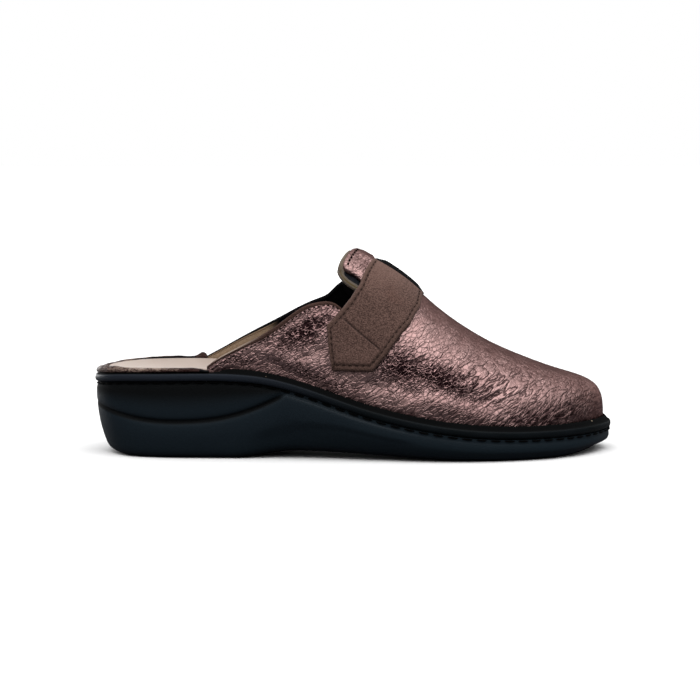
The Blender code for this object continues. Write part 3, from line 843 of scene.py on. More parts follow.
def make_piece(
    name: str,
    points: Array,
    faces: Faces,
    finishes: Sequence[Material],
    marks: Sequence[int] | None = None,
    values: dict[str, Array] | None = None,
) -> bpy.types.Object:
    """Turn millimetre points and faces into a smooth piece on the object's one body.

    Args:
        name: Name of the piece.
        points: Points in millimetres.
        faces: Corner numbers of each face.
        finishes: Materials by number.
        marks: Material number of each face.
        values: Named numbers for each point, read by the finishes.

    Returns:
        The new object.
    """
    mesh = bpy.data.meshes.new(name)
    mesh.from_pydata((np.asarray(points, dtype=float) * MM).tolist(), [], faces)
    for finish in finishes:
        mesh.materials.append(finish)
    if marks is not None:
        mesh.polygons.foreach_set("material_index", np.asarray(marks, dtype=np.int32))
    mesh.polygons.foreach_set("use_smooth", np.ones(len(faces), dtype=bool))
    for label, numbers in (values or {}).items():
        layer = mesh.attributes.new(label, "FLOAT", "POINT")
        layer.data.foreach_set("value", np.asarray(numbers, dtype=np.float32))
    mesh.update()
    piece = bpy.data.objects.new(name, mesh)
    bpy.context.scene.collection.objects.link(piece)
    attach(piece, BODY)
    LOG.info("%s: %d points, %d faces", name, len(mesh.vertices), len(mesh.polygons))
    return piece


@dataclass
class Sheet:
    """Sheet laid over the foot form: outer points, then inner points, then rim rows."""

    flat: Array
    base: Array
    points: Array
    faces: Faces
    marks: list[int]
    layer: Array

    @property
    def count(self) -> int:
        """Number of points in one skin."""
        return len(self.flat)

    def spread(self, outer: Array) -> Array:
        """Add zeros for the inner skin and the rim to the outer skin's numbers."""
        return np.concatenate((outer, np.zeros(len(self.points) - self.count)))


@dataclass
class SheetMaker:
    """Cuts flat patterns and lays them over the foot form."""

    form: FootForm
    edge_clearance: float = 0.55
    row_clearance: float = 0.8
    line_clearance: float = 0.5
    match: float = 1e-4
    foot_band: float = 0.01

    def fill(
        self, outline: Array, spacing: float, insets: Sequence[float], extra: Array | None
    ) -> tuple[Array, Faces]:
        """Cover a flat pattern with triangles.

        Args:
            outline: Flat outline, interior on its left.
            spacing: Size of the triangles.
            insets: Distances from the outline that get their own rows of points.
            extra: Further flat points that the triangles have to use.

        Returns:
            Flat points and triangles.
        """
        low, high = outline.min(axis=0), outline.max(axis=0)
        rows = np.arange(low[1], high[1], spacing * math.sqrt(0.75))
        spots = []
        for number, level in enumerate(rows):
            line = np.arange(low[0] + 0.5 * spacing * (number % 2), high[0], spacing)
            spots.append(np.column_stack((line, np.full_like(line, level))))
        spots = np.vstack(spots)
        closed = shut(outline)
        spots = spots[inside_of(outline, spots)]
        reach = max(insets, default=0.0) + self.edge_clearance * spacing
        spots = spots[distance_to(closed, spots) > reach]
        fixed = [outline]
        wrapped = np.vstack((outline[-1:], outline, outline[:1]))
        for inset in insets:
            row = beside(wrapped, inset)[1:-1]
            row = row[inside_of(outline, row)]
            fixed.append(row[distance_to(closed, row) > self.row_clearance * inset])
        if extra is not None:
            kept = extra[inside_of(outline, extra)]
            kept = kept[distance_to(closed, kept) > reach]
            fixed.append(kept)
            for line_point in kept:
                gap = np.linalg.norm(spots - line_point, axis=1)
                spots = spots[gap > self.line_clearance * spacing]
        points = [Vector(p) for p in np.vstack((*fixed, spots)).tolist()]
        count = len(outline)
        edges = [(i, (i + 1) % count) for i in range(count)]
        flat, _, faces, _, _, _ = delaunay_2d_cdt(points, edges, [], 1, 1e-6)
        return np.array([tuple(p) for p in flat]), [tuple(face) for face in faces]

    def join_toe(self, flat: Array, faces: Faces) -> Faces:
        """Close the pattern down the middle of the toe.

        Args:
            flat: Flat points.
            faces: Triangles between them.

        Returns:
            Triangles that share the toe's rib from both sides.
        """
        at_toe = np.abs(flat[:, 0] - self.form.station_end) < self.match
        keep = np.arange(len(flat))
        lateral = np.flatnonzero(at_toe & (flat[:, 1] < -self.match))
        for number in np.flatnonzero(at_toe & (flat[:, 1] > self.match)):
            keep[number] = lateral[np.abs(flat[lateral, 1] + flat[number, 1]).argmin()]
        joined = [tuple(int(keep[i]) for i in face) for face in faces]
        corners = [tuple(sorted(face)) for face in joined]
        uses = Counter(corners)
        return [face for face, key in zip(joined, corners) if uses[key] == 1]

    def lay(
        self,
        outline: Array,
        spacing: float,
        under: SkinHeight,
        over: SkinHeight,
        rim_rows: int = 1,
        rim_bulge: float = 0.0,
        insets: Sequence[float] = (),
        extra: Array | None = None,
        toe: bool = False,
    ) -> Sheet:
        """Lay a flat pattern over the form as a sheet with two skins.

        Args:
            outline: Flat outline, interior on its left.
            spacing: Size of the triangles.
            under: Inner skin's distance from the form, from flat and laid points.
            over: Outer skin's distance from the form, from flat and laid points.
            rim_rows: Number of face rows across the edge.
            rim_bulge: How far the middle of the edge stands out.
            insets: Distances from the outline that get their own rows of points.
            extra: Further flat points that the triangles have to use.
            toe: Whether the pattern closes round the toe.

        Returns:
            The laid sheet.
        """
        flat, faces = self.fill(outline, spacing, insets, extra)
        if toe:
            faces = self.join_toe(flat, faces)
        used = sorted({i for face in faces for i in face})
        number = {old: new for new, old in enumerate(used)}
        faces = [tuple(number[i] for i in face) for face in faces]
        flat = flat[used]
        base = self.form.point(flat)
        normal = self.form.normal(flat)
        if toe:
            seam = np.abs(flat[:, 0] - self.form.station_end) < self.match
            other = self.form.normal(flat * np.array((1.0, -1.0)))
            normal[seam] += other[seam]
            normal /= np.linalg.norm(normal, axis=1)[:, None]
        outer = base + normal * over(flat, base)[:, None]
        inner = base + normal * under(flat, base)[:, None]
        if toe:
            bottom = np.abs(flat[:, 1]) > self.form.foot_edge - self.foot_band
            for skin in (outer, inner):
                skin[bottom, 2] = self.form.levels.layer_floor(skin[bottom, 0])
        count = len(flat)
        points = [*outer, *inner]
        layer = [1.0] * count + [0.0] * count
        marks = [Face.OUTER.value] * len(faces) + [Face.INNER.value] * len(faces)
        uses = {(a, b) for face in faces for a, b in zip(face, face[1:] + face[:1])}
        rim = sorted((a, b) for a, b in uses if (b, a) not in uses)
        outward = np.zeros((count, 3))
        for a, b in rim:
            away = np.cross(outer[b] - outer[a], normal[a])
            outward[a] += away
            outward[b] += away
        length = np.linalg.norm(outward, axis=1)
        outward /= np.where(length > 0.0, length, 1.0)[:, None]
        columns = {}
        for vertex in sorted({i for edge in rim for i in edge}):
            column = [vertex]
            for k in range(1, rim_rows):
                share = k / rim_rows
                spot = outer[vertex] + (inner[vertex] - outer[vertex]) * share
                spot = spot + outward[vertex] * rim_bulge * 4.0 * share * (1.0 - share)
                column.append(len(points))
                points.append(spot)
                layer.append(1.0 - share)
            columns[vertex] = [*column, vertex + count]
        all_faces = list(faces)
        all_faces.extend(tuple(i + count for i in face[::-1]) for face in faces)
        for a, b in rim:
            for k in range(rim_rows):
                first, second = columns[a], columns[b]
                all_faces.append((second[k], first[k], first[k + 1], second[k + 1]))
                marks.append(Face.RIM.value)
        return Sheet(flat, base, np.array(points), all_faces, marks, np.array(layer))


class NodeSketch:
    """Short way to place and join shader nodes in one tree."""

    wave_unit: float = 3.2

    def __init__(self, tree: bpy.types.NodeTree) -> None:
        """Work in one node tree."""
        self.tree = tree

    def add(self, kind: str, **settings: object) -> bpy.types.Node:
        """Place a node.

        Args:
            kind: Blender's name of the node type.
            settings: Properties of the node.

        Returns:
            The new node.
        """
        node = self.tree.nodes.new(kind)
        for key, value in settings.items():
            setattr(node, key, value)
        return node

    def feed(self, target: Socket, value: object) -> None:
        """Join a socket to an input, or set the input to a plain value.

        Args:
            target: Input to feed.
            value: Socket or plain value.
        """
        if isinstance(value, Socket):
            self.tree.links.new(value, target)
        else:
            target.default_value = value

    def math(self, operation: str, *values: object, clamp: bool = False) -> Socket:
        """Work out one sum.

        Args:
            operation: Blender's name of the sum.
            values: Sockets or numbers.
            clamp: Whether the result stays within 0 and 1.

        Returns:
            The result's socket.
        """
        node = self.add("ShaderNodeMath", operation=operation, use_clamp=clamp)
        for target, value in zip(node.inputs, values):
            self.feed(target, value)
        return node.outputs[0]

    def span(
        self, value: object, low: float, high: float, to_low: float = 0.0, to_high: float = 1.0
    ) -> Socket:
        """Ease a value from one range to another.

        Args:
            value: Socket to read.
            low: Start of the range read.
            high: End of the range read.
            to_low: Result at the start.
            to_high: Result at the end.

        Returns:
            The result's socket.
        """
        node = self.add("ShaderNodeMapRange", interpolation_type="SMOOTHSTEP")
        for label, part in (
            ("Value", value), ("From Min", low), ("From Max", high),
            ("To Min", to_low), ("To Max", to_high),
        ):
            self.feed(node.inputs[label], part)
        return node.outputs["Result"]

    def blend(self, share: object, first: object, second: object) -> Socket:
        """Blend two colours.

        Args:
            share: How much of the second colour.
            first: Colour or socket.
            second: Colour or socket.

        Returns:
            The result's socket.
        """
        node = self.add("ShaderNodeMix", data_type="RGBA", clamp_factor=True)
        for place, value in ((0, share), (6, first), (7, second)):
            self.feed(node.inputs[place], (*value, 1.0) if isinstance(value, tuple) else value)
        return node.outputs[2]

    def noise(
        self, vector: Socket, scale: float, detail: float = 2.0, rough: float = 0.5
    ) -> Socket:
        """Place a noise texture.

        Args:
            vector: Place to read.
            scale: Repeats in one unit.
            detail: Number of finer layers.
            rough: Weight of the finer layers.

        Returns:
            The socket of its factor.
        """
        node = self.add("ShaderNodeTexNoise")
        self.feed(node.inputs["Vector"], vector)
        self.feed(node.inputs["Scale"], scale)
        self.feed(node.inputs["Detail"], detail)
        self.feed(node.inputs["Roughness"], rough)
        return node.outputs["Fac"]

    def cells(self, vector: Socket, scale: object) -> Socket:
        """Place a cell texture.

        Args:
            vector: Place to read.
            scale: Cells in one unit.

        Returns:
            The socket of the distance to the cells' edges.
        """
        node = self.add("ShaderNodeTexVoronoi", feature="DISTANCE_TO_EDGE")
        self.feed(node.inputs["Vector"], vector)
        self.feed(node.inputs["Scale"], scale)
        return node.outputs["Distance"]

    def bands(self, direction: str, width: float) -> Socket:
        """Place a texture of even bands.

        Args:
            direction: Blender's name of the direction across the bands.
            width: Distance between bands, in millimetres.

        Returns:
            The socket of its factor.
        """
        node = self.add("ShaderNodeTexWave", wave_type="BANDS", bands_direction=direction)
        self.feed(node.inputs["Vector"], self.place((width * self.wave_unit,) * 3))
        self.feed(node.inputs["Scale"], 1.0)
        return node.outputs["Fac"]

    def place(
        self,
        scale: Triple,
        turn: Triple = (0.0, 0.0, 0.0),
    ) -> Socket:
        """Read the place on the object, turned and then measured in units of some size.

        Args:
            scale: Size of one unit along each turned axis, in millimetres.
            turn: Turn about each axis, in degrees.

        Returns:
            The socket of the place.
        """
        mapping = self.add("ShaderNodeMapping", vector_type="TEXTURE")
        mapping.inputs["Scale"].default_value = [part * MM for part in scale]
        mapping.inputs["Rotation"].default_value = [math.radians(part) for part in turn]
        spot = self.add("ShaderNodeTexCoord")
        self.tree.links.new(spot.outputs["Object"], mapping.inputs["Vector"])
        return mapping.outputs["Vector"]

    def axis(self, name: str) -> Socket:
        """Read the place along one axis, in millimetres.

        Args:
            name: X, Y or Z.

        Returns:
            The socket of the place.
        """
        spot = self.add("ShaderNodeSeparateXYZ")
        self.feed(spot.inputs["Vector"], self.place((1.0, 1.0, 1.0)))
        return spot.outputs[name]

    def value(self, name: str) -> Socket:
        """Read a named number of the mesh's points."""
        return self.add("ShaderNodeAttribute", attribute_name=name).outputs["Fac"]

    def patches(
        self, tree: bpy.types.NodeTree, place: Socket, contrast: float
    ) -> Socket:
        """Place soft patches of some contrast and give their share."""
        return self.effect(tree, Place=place, Contrast=contrast).outputs["Share"]

    def effect(self, tree: bpy.types.NodeTree, **values: object) -> bpy.types.Node:
        """Place a shared effect with its own values.

        Args:
            tree: The effect's node group.
            values: Sockets or numbers by input name.

        Returns:
            The group's node.
        """
        node = self.add("ShaderNodeGroup", node_tree=tree)
        for label, value in values.items():
            self.feed(node.inputs[label], value)
        return node


def start_effect(
    name: str, inputs: Sequence[tuple[str, str]], outputs: Sequence[tuple[str, str]]
) -> tuple[bpy.types.NodeTree, NodeSketch, bpy.types.Node, bpy.types.Node]:
    """Begin a shared shader effect.

    Args:
        name: Name of the node group.
        inputs: Name and kind of each input socket.
        outputs: Name and kind of each output socket.

    Returns:
        The group, a sketch in it, its inputs' node and its outputs' node.
    """
    tree = bpy.data.node_groups.new(name, "ShaderNodeTree")
    for direction, sockets in (("INPUT", inputs), ("OUTPUT", outputs)):
        for label, kind in sockets:
            tree.interface.new_socket(
                name=label, in_out=direction, socket_type="NodeSocket" + kind
            )
    sketch = NodeSketch(tree)
    return tree, sketch, sketch.add("NodeGroupInput"), sketch.add("NodeGroupOutput")


class Effects:
    """Shader effects that several finishes share."""

    def __init__(self) -> None:
        """Build each effect once."""
        self.crinkle = self.build_crinkle()
        self.grain = self.build_grain()
        self.patches = self.build_patches()

    def build_crinkle(self) -> bpy.types.NodeTree:
        """Make the wrinkles, thin crack net and crumpled ridges of crinkled leather.

        Returns:
            A group with Place, Net, Warp, Folds and Cells in, Height and Valley out.
        """
        tree, sketch, given, result = start_effect(
            "crinkle",
            (
                ("Place", "Vector"), ("Net", "Vector"), ("Warp", "Float"), ("Folds", "Float"),
                ("Cells", "Float"),
            ),
            (("Height", "Float"), ("Valley", "Float")),
        )
        warp, cells = given.outputs["Warp"], given.outputs["Cells"]
        place = self.drift(sketch, given.outputs["Place"], warp)
        net = self.drift(sketch, given.outputs["Net"], warp)
        fold = self.crack(sketch, sketch.noise(place, 0.8, 1.0), 0.05, 0.22)
        thin = sketch.span(sketch.cells(net, 1.0), 0.0, 0.13)
        ridges = sketch.span(sketch.cells(net, 1.5), 0.0, 0.25, 1.0, 0.0)
        broken = sketch.span(sketch.noise(net, 1.2, 1.0), 0.38, 0.60, 0.25, 1.0)
        ridges = sketch.math("MULTIPLY", ridges, broken)
        plumper = sketch.math("SUBTRACT", fold, thin)
        lines = sketch.math("MULTIPLY_ADD", plumper, given.outputs["Folds"], thin)
        mixed = sketch.math("SUBTRACT", ridges, lines)
        height = sketch.math("MULTIPLY_ADD", mixed, cells, lines)
        sketch.feed(result.inputs["Height"], height)
        sketch.feed(result.inputs["Valley"], sketch.span(height, 0.05, 0.70, 1.0, 0.0))
        return tree

    def drift(
        self, sketch: NodeSketch, place: Socket, amount: Socket
    ) -> Socket:
        """Push a place about by slow noise.

        Args:
            sketch: Sketch of the group.
            place: Place to move.
            amount: How far it moves.

        Returns:
            The socket of the moved place.
        """
        cloud = sketch.add("ShaderNodeTexNoise")
        for label, value in (("Vector", place), ("Scale", 0.45), ("Detail", 3.0)):
            sketch.feed(cloud.inputs[label], value)
        centred = sketch.add("ShaderNodeVectorMath", operation="SUBTRACT")
        sketch.feed(centred.inputs[0], cloud.outputs["Color"])
        centred.inputs[1].default_value = (0.5, 0.5, 0.5)
        moved = sketch.add("ShaderNodeVectorMath", operation="SCALE")
        sketch.feed(moved.inputs[0], centred.outputs["Vector"])
        sketch.feed(moved.inputs["Scale"], amount)
        total = sketch.add("ShaderNodeVectorMath", operation="ADD")
        sketch.feed(total.inputs[0], place)
        sketch.feed(total.inputs[1], moved.outputs["Vector"])
        return total.outputs["Vector"]

    def crack(
        self, sketch: NodeSketch, value: Socket, narrow: float, wide: float
    ) -> Socket:
        """Turn noise into plump folds parted by thin cracks where it crosses its middle.

        Args:
            sketch: Sketch of the group.
            value: Noise to read.
            narrow: Noise step across a crack.
            wide: Noise step from a crack to a fold's top.

        Returns:
            The socket of the height, 0 in a crack.
        """
        away = sketch.math("ABSOLUTE", sketch.math("SUBTRACT", value, 0.5))
        dome = sketch.math("MULTIPLY", sketch.span(away, 0.0, wide), 0.5)
        return sketch.math("MULTIPLY_ADD", sketch.span(away, 0.0, narrow), 0.5, dome)

    def build_grain(self) -> bpy.types.NodeTree:
        """Make a fine pebbled grain.

        Returns:
            A group with Place in, Height and Shade out.
        """
        tree, sketch, given, result = start_effect(
            "fine_grain", (("Place", "Vector"),), (("Height", "Float"), ("Shade", "Float"))
        )
        cells = sketch.cells(given.outputs["Place"], 1.0)
        pebble = sketch.span(cells, 0.0, 0.35)
        dust = sketch.noise(given.outputs["Place"], 1.7, 4.0, 0.6)
        sketch.feed(
            result.inputs["Height"],
            sketch.math("MULTIPLY_ADD", pebble, 0.6, sketch.math("MULTIPLY", dust, 0.4)),
        )
        sketch.feed(result.inputs["Shade"], dust)
        return tree

    def build_patches(self) -> bpy.types.NodeTree:
        """Make broad soft patches.

        Returns:
            A group with Place and Contrast in, Share out.
        """
        tree, sketch, given, result = start_effect(
            "soft_patches", (("Place", "Vector"), ("Contrast", "Float")), (("Share", "Float"),)
        )
        cloud = sketch.noise(given.outputs["Place"], 1.0, 3.0, 0.55)
        away = sketch.math("SUBTRACT", cloud, 0.5)
        sketch.feed(
            result.inputs["Share"],
            sketch.math("MULTIPLY_ADD", away, given.outputs["Contrast"], 0.5, clamp=True),
        )
        return tree


def start_finish(name: str) -> tuple[Material, NodeSketch, bpy.types.Node]:
    """Begin a material.

    Args:
        name: Name of the material.

    Returns:
        The material, a sketch in its tree and its shader.
    """
    material = bpy.data.materials.new(name)
    material.use_nodes = True
    sketch = NodeSketch(material.node_tree)
    return material, sketch, material.node_tree.nodes["Principled BSDF"]


def raise_grain(
    sketch: NodeSketch, shader: bpy.types.Node, height: Socket, depth: float
) -> None:
    """Give a shader relief.

    Args:
        sketch: Sketch of the material.
        shader: The material's shader.
        height: Socket of the relief's height.
        depth: What a height of 1 stands for, in millimetres.
    """
    relief = sketch.add("ShaderNodeBump")
    relief.inputs["Strength"].default_value = 1.0
    relief.inputs["Distance"].default_value = depth * MM
    sketch.feed(relief.inputs["Height"], height)
    sketch.feed(shader.inputs["Normal"], relief.outputs["Normal"])


@dataclass(frozen=True)
class CrinkledLeather:
    """Crinkled leather with a metallic face."""

    name: str = "crinkled_rose_leather"
    ridge: Colour = (0.400, 0.258, 0.245)
    body: Colour = (0.310, 0.190, 0.180)
    valley: Colour = (0.022, 0.009, 0.011)
    crest_highlight: Colour = (0.495, 0.300, 0.292)
    metallic: float = 1.0
    fold: Triple = (8.0, 5.0, 1.9)
    net: Triple = (3.1, 2.8, 2.0)
    turn: float = -36.0
    depth: float = 0.74
    least: float = 0.22
    gloss: float = 0.33
    crumple_shade: float = 0.78
    specular: float = 0.5
    edge_tint: Colour = (0.60, 0.47, 0.45)
    patch: Triple = (11.0, 11.0, 6.0)
    contrast: float = 2.4
    warp: float = 0.6
    swell: float = 0.9

    def make(self, effects: Effects) -> Material:
        """Make the material.

        Args:
            effects: Shared effects.

        Returns:
            The material.
        """
        material, sketch, shader = start_finish(self.name)
        crumple, wrinkle = sketch.value("crumple"), sketch.value("wrinkle")
        turned = (0.0, self.turn, 0.0)
        crinkle = sketch.effect(
            effects.crinkle, Place=sketch.place(self.fold, turned),
            Net=sketch.place(self.net, turned), Warp=self.warp,
            Folds=sketch.math("MULTIPLY_ADD", wrinkle, 0.35, 0.58),
            Cells=sketch.math("MULTIPLY", crumple, 0.7),
        )
        broad = sketch.place(self.patch, turned)
        patch = sketch.patches(effects.patches, broad, self.contrast)
        share = sketch.math("MULTIPLY_ADD", patch, 0.25, self.least)
        share = sketch.math("MULTIPLY_ADD", wrinkle, 0.5, share)
        share = sketch.math("ADD", crumple, share)
        height = sketch.math("MULTIPLY", crinkle.outputs["Height"], share)
        height = sketch.math("MULTIPLY_ADD", sketch.noise(broad, 1.0, 2.0), self.swell, height)
        valley = sketch.math("MULTIPLY", crinkle.outputs["Valley"], share, clamp=True)
        tone = sketch.blend(patch, self.body, self.ridge)
        # Painted shade: the crumpled zones are darkened towards the valley colour.
        tone = sketch.blend(sketch.math("MULTIPLY", crumple, self.crumple_shade), tone, self.valley)
        # Painted highlight: the tops of the crumpled ridges are lightened towards the crest colour.
        top = sketch.span(crinkle.outputs["Height"], 0.40, 0.80, 0.0, 0.9)
        tone = sketch.blend(sketch.math("MULTIPLY", top, crumple), tone, self.crest_highlight)
        tone = sketch.blend(valley, tone, self.valley)
        # Painted shade: the 'shade' value darkens the leather towards the valley colour, broken up
        # by noise.
        rough_edge = sketch.span(sketch.noise(broad, 3.0, 2.0), 0.35, 0.65, 0.45, 1.0)
        shade = sketch.math("MULTIPLY", sketch.value("shade"), rough_edge)
        sketch.feed(shader.inputs["Base Color"], sketch.blend(shade, tone, self.valley))
        shader.inputs["Metallic"].default_value = self.metallic
        shader.inputs["Specular IOR Level"].default_value = self.specular
        shader.inputs["Specular Tint"].default_value = (*self.edge_tint, 1.0)
        rough = sketch.math("MULTIPLY_ADD", valley, 0.2, self.gloss)
        sketch.feed(shader.inputs["Roughness"], rough)
        raise_grain(sketch, shader, height, self.depth)
        return material


@dataclass(frozen=True)
class NappedSuede:
    """Suede with a short speckled nap."""

    lit_top: Pair = (74.0, 96.0)
    tab: Pair = (50.0, 66.0)
    light: Colour = (0.176, 0.102, 0.083)
    dark: Colour = (0.034, 0.017, 0.013)
    border: Colour = (0.105, 0.061, 0.048)
    seam: Colour = (0.012, 0.006, 0.005)
    rubbed: Colour = (0.085, 0.036, 0.026)
    sheen: float = 0.10
    sheen_rough: float = 0.5
    sheen_tint: Colour = (0.75, 0.60, 0.55)
    nap: float = 1.2
    patch: float = 16.0
    contrast: float = 1.6
    rough: float = 0.95
    specular: float = 0.2
    relief: float = 0.22

    def make(self, effects: Effects) -> Material:
        """Make the material.

        Args:
            effects: Shared effects.

        Returns:
            The material.
        """
        material, sketch, shader = start_finish("brown_napped_suede")
        nap = sketch.effect(effects.grain, Place=sketch.place((self.nap,) * 3))
        broad = sketch.place((self.patch,) * 3)
        patch = sketch.patches(effects.patches, broad, self.contrast)
        fleck = sketch.span(nap.outputs["Shade"], 0.37, 0.63)
        share = sketch.math("MULTIPLY_ADD", patch, 0.3, sketch.math("MULTIPLY", fleck, 0.7))
        # Painted light: the suede is lightened towards the top of the strap, where light from above
        # falls.
        height = sketch.axis("Z")
        lift = sketch.span(height, *self.lit_top)
        share = sketch.math("MULTIPLY_ADD", lift, 0.45, share)
        # Painted light: the tab low on the strap is lightened where it turns away from the light.
        tab = sketch.span(height, *self.tab, 0.15, 0.0)
        share = sketch.math("ADD", tab, share, clamp=True)
        tone = sketch.blend(share, self.dark, self.light)
        worn = sketch.span(sketch.noise(broad, 0.8, 1.0), 0.5, 0.75, 0.0, 0.45)
        tone = sketch.blend(worn, tone, self.rubbed)
        edge = sketch.math("MULTIPLY", sketch.value("border"), 0.55)
        tone = sketch.blend(edge, tone, self.border)
        # Painted shade: the stitch trough and the fold at the cross seam are darkened to the seam
        # colour.
        tone = sketch.blend(sketch.value("seam"), tone, self.seam)
        sketch.feed(shader.inputs["Base Color"], tone)
        shader.inputs["Roughness"].default_value = self.rough
        shader.inputs["Specular IOR Level"].default_value = self.specular
        shader.inputs["Sheen Weight"].default_value = self.sheen
        shader.inputs["Sheen Roughness"].default_value = self.sheen_rough
        shader.inputs["Sheen Tint"].default_value = (*self.sheen_tint, 1.0)
        raise_grain(sketch, shader, nap.outputs["Height"], self.relief)
        return material


@dataclass(frozen=True)
class MouldedSole:
    """Moulded black sole or welt, with a little dust."""

    name: str
    base: Colour
    dusty: Colour
    rough: float
    grain: float
    specular: float = 0.16
    specks: bool = False
    speck: Colour = (0.30, 0.24, 0.17)
    ledge_and_shade: Colour = (0.0015, 0.0018, 0.0020)
    patch: Triple = (22.0, 22.0, 9.0)
    contrast: float = 1.8
    speck_cell: Triple = (4.2, 4.2, 2.6)
    speck_edge: Pair = (0.10, 0.17)
    speck_rare: float = 0.80
    relief: float = 0.05

    def make(self, effects: Effects) -> Material:
        """Make the material.

        Args:
            effects: Shared effects.

        Returns:
            The material.
        """
        material, sketch, shader = start_finish(self.name)
        grain = sketch.effect(effects.grain, Place=sketch.place((self.grain,) * 3))
        patch = sketch.patches(effects.patches, sketch.place(self.patch), self.contrast)
        share = sketch.math("MULTIPLY_ADD", patch, 0.25, sketch.value("dust"))
        tone = sketch.blend(share, self.base, self.dusty)
        # Painted shade: the 'shade' value darkens towards this colour; on the sole it is the shadow
        # under the welt and the dark line in its groove, on the welt it marks the black ledge.
        shade = sketch.value("shade")
        tone = sketch.blend(shade, tone, self.ledge_and_shade)
        if self.specks:
            spots = sketch.add("ShaderNodeTexVoronoi", feature="F1")
            sketch.feed(spots.inputs["Vector"], sketch.place(self.speck_cell))
            sketch.feed(spots.inputs["Scale"], 1.0)
            near = sketch.span(spots.outputs["Distance"], *self.speck_edge, 1.0, 0.0)
            chosen = sketch.add("ShaderNodeSeparateColor")
            sketch.feed(chosen.inputs["Color"], spots.outputs["Color"])
            rare = sketch.math("GREATER_THAN", chosen.outputs["Red"], self.speck_rare)
            rare = sketch.math("MULTIPLY", near, rare)
            mask = sketch.math("MULTIPLY", rare, sketch.value("speck"))
            tone = sketch.blend(mask, tone, self.speck)
        sketch.feed(shader.inputs["Base Color"], tone)
        rough = sketch.math("MULTIPLY_ADD", patch, 0.12, self.rough)
        sketch.feed(shader.inputs["Roughness"], sketch.math("MULTIPLY_ADD", shade, 0.4, rough))
        shader.inputs["Specular IOR Level"].default_value = self.specular
        raise_grain(sketch, shader, grain.outputs["Height"], self.relief)
        return material


@dataclass(frozen=True)
class SmoothLeather:
    """Plain leather with a fine grain, for footbed, bead and bindings."""

    name: str
    light: Colour
    dark: Colour
    rough: float
    pore: float
    depth: float
    specular: float = 0.3
    pale: Colour | None = None
    pale_range: Pair = (-60.0, -42.0)
    pale_start: Pair = (-70.0, -64.0)
    pale_most: float = 0.8
    patch: float = 14.0
    contrast: float = 1.5

    def make(self, effects: Effects) -> Material:
        """Make the material.

        Args:
            effects: Shared effects.

        Returns:
            The material.
        """
        material, sketch, shader = start_finish(self.name)
        grain = sketch.effect(effects.grain, Place=sketch.place((self.pore,) * 3))
        broad = sketch.place((self.patch,) * 3)
        patch = sketch.patches(effects.patches, broad, self.contrast)
        share = sketch.math("MULTIPLY_ADD", grain.outputs["Shade"], 0.6, -0.05)
        share = sketch.math("MULTIPLY_ADD", patch, 0.5, share, clamp=True)
        tone = sketch.blend(share, self.dark, self.light)
        if self.pale:
            along = sketch.axis("X")
            heel = sketch.span(along, *self.pale_range, self.pale_most, 0.0)
            start = sketch.span(along, *self.pale_start)
            heel = sketch.math("MULTIPLY", heel, start)
            heel = sketch.math("MULTIPLY", heel, sketch.value("fold"))
            tone = sketch.blend(heel, tone, self.pale)
        sketch.feed(shader.inputs["Base Color"], tone)
        rough = sketch.math("MULTIPLY_ADD", patch, 0.1, self.rough)
        sketch.feed(shader.inputs["Roughness"], rough)
        shader.inputs["Specular IOR Level"].default_value = self.specular
        raise_grain(sketch, shader, grain.outputs["Height"], self.depth)
        return material


@dataclass(frozen=True)
class Lining:
    """Textile lining: tan at the quarters, black towards the instep."""

    tan: Colour = (0.370, 0.265, 0.180)
    black: Colour = (0.0015, 0.0015, 0.002)
    change: Pair = (-46.0, -38.0)
    thread: float = 0.55
    fleck: float = 0.55
    rough: float = 0.9
    specular: float = 0.06
    relief: float = 0.12

    def make(self, effects: Effects) -> Material:
        """Make the material.

        Args:
            effects: Shared effects.

        Returns:
            The material.
        """
        material, sketch, shader = start_finish("quarter_lining")
        weave = sketch.effect(effects.grain, Place=sketch.place((self.thread,) * 3))
        deep = sketch.span(sketch.axis("X"), *self.change)
        fleck = sketch.span(weave.outputs["Shade"], 0.3, 0.7, 0.35, 0.0)
        tone = sketch.blend(fleck, self.tan, tuple(self.fleck * part for part in self.tan))
        sketch.feed(shader.inputs["Base Color"], sketch.blend(deep, tone, self.black))
        shader.inputs["Roughness"].default_value = self.rough
        shader.inputs["Specular IOR Level"].default_value = self.specular
        raise_grain(sketch, shader, weave.outputs["Height"], self.relief)
        return material


@dataclass(frozen=True)
class LayeredPad:
    """Tongue's pad: a foam core between two tan layers at its edge, dark on its face."""

    tan: Colour = (0.190, 0.152, 0.118)
    foam: Colour = (0.150, 0.105, 0.035)
    face: Colour = (0.006, 0.007, 0.011)
    core: Pair = (0.42, 0.66)
    bare: Pair = (86.0, 93.0)
    edge_end: float = 1.0
    blur: float = 0.06
    grain: float = 0.6
    fleck: float = 0.45
    rough: float = 0.75
    specular: float = 0.2
    relief: float = 0.12

    def make(self, effects: Effects) -> Material:
        """Make the material.

        Args:
            effects: Shared effects.

        Returns:
            The material.
        """
        material, sketch, shader = start_finish("layered_tongue_pad")
        band = sketch.value("band")
        low, high = self.core
        above = sketch.span(band, low - self.blur, low + self.blur)
        below = sketch.span(band, high - self.blur, high + self.blur, 1.0, 0.0)
        bare = sketch.span(sketch.axis("Z"), *self.bare, 1.0, 0.2)
        core = sketch.math("MULTIPLY", sketch.math("MULTIPLY", above, below), bare)
        grain = sketch.effect(effects.grain, Place=sketch.place((self.grain,) * 3))
        tone = sketch.blend(core, self.tan, self.foam)
        shade = sketch.span(grain.outputs["Shade"], 0.3, 0.7, 0.4, 0.0)
        tone = sketch.blend(shade, tone, tuple(self.fleck * part for part in self.tan))
        # The pad's face beyond its edge band is dark: black fabric on the pad, and painted shadow
        # where it shows in the gap under the leather's edge.
        face = sketch.span(band, self.edge_end - self.blur, self.edge_end + self.blur)
        sketch.feed(shader.inputs["Base Color"], sketch.blend(face, tone, self.face))
        shader.inputs["Roughness"].default_value = self.rough
        shader.inputs["Specular IOR Level"].default_value = self.specular
        raise_grain(sketch, shader, grain.outputs["Height"], self.relief)
        return material


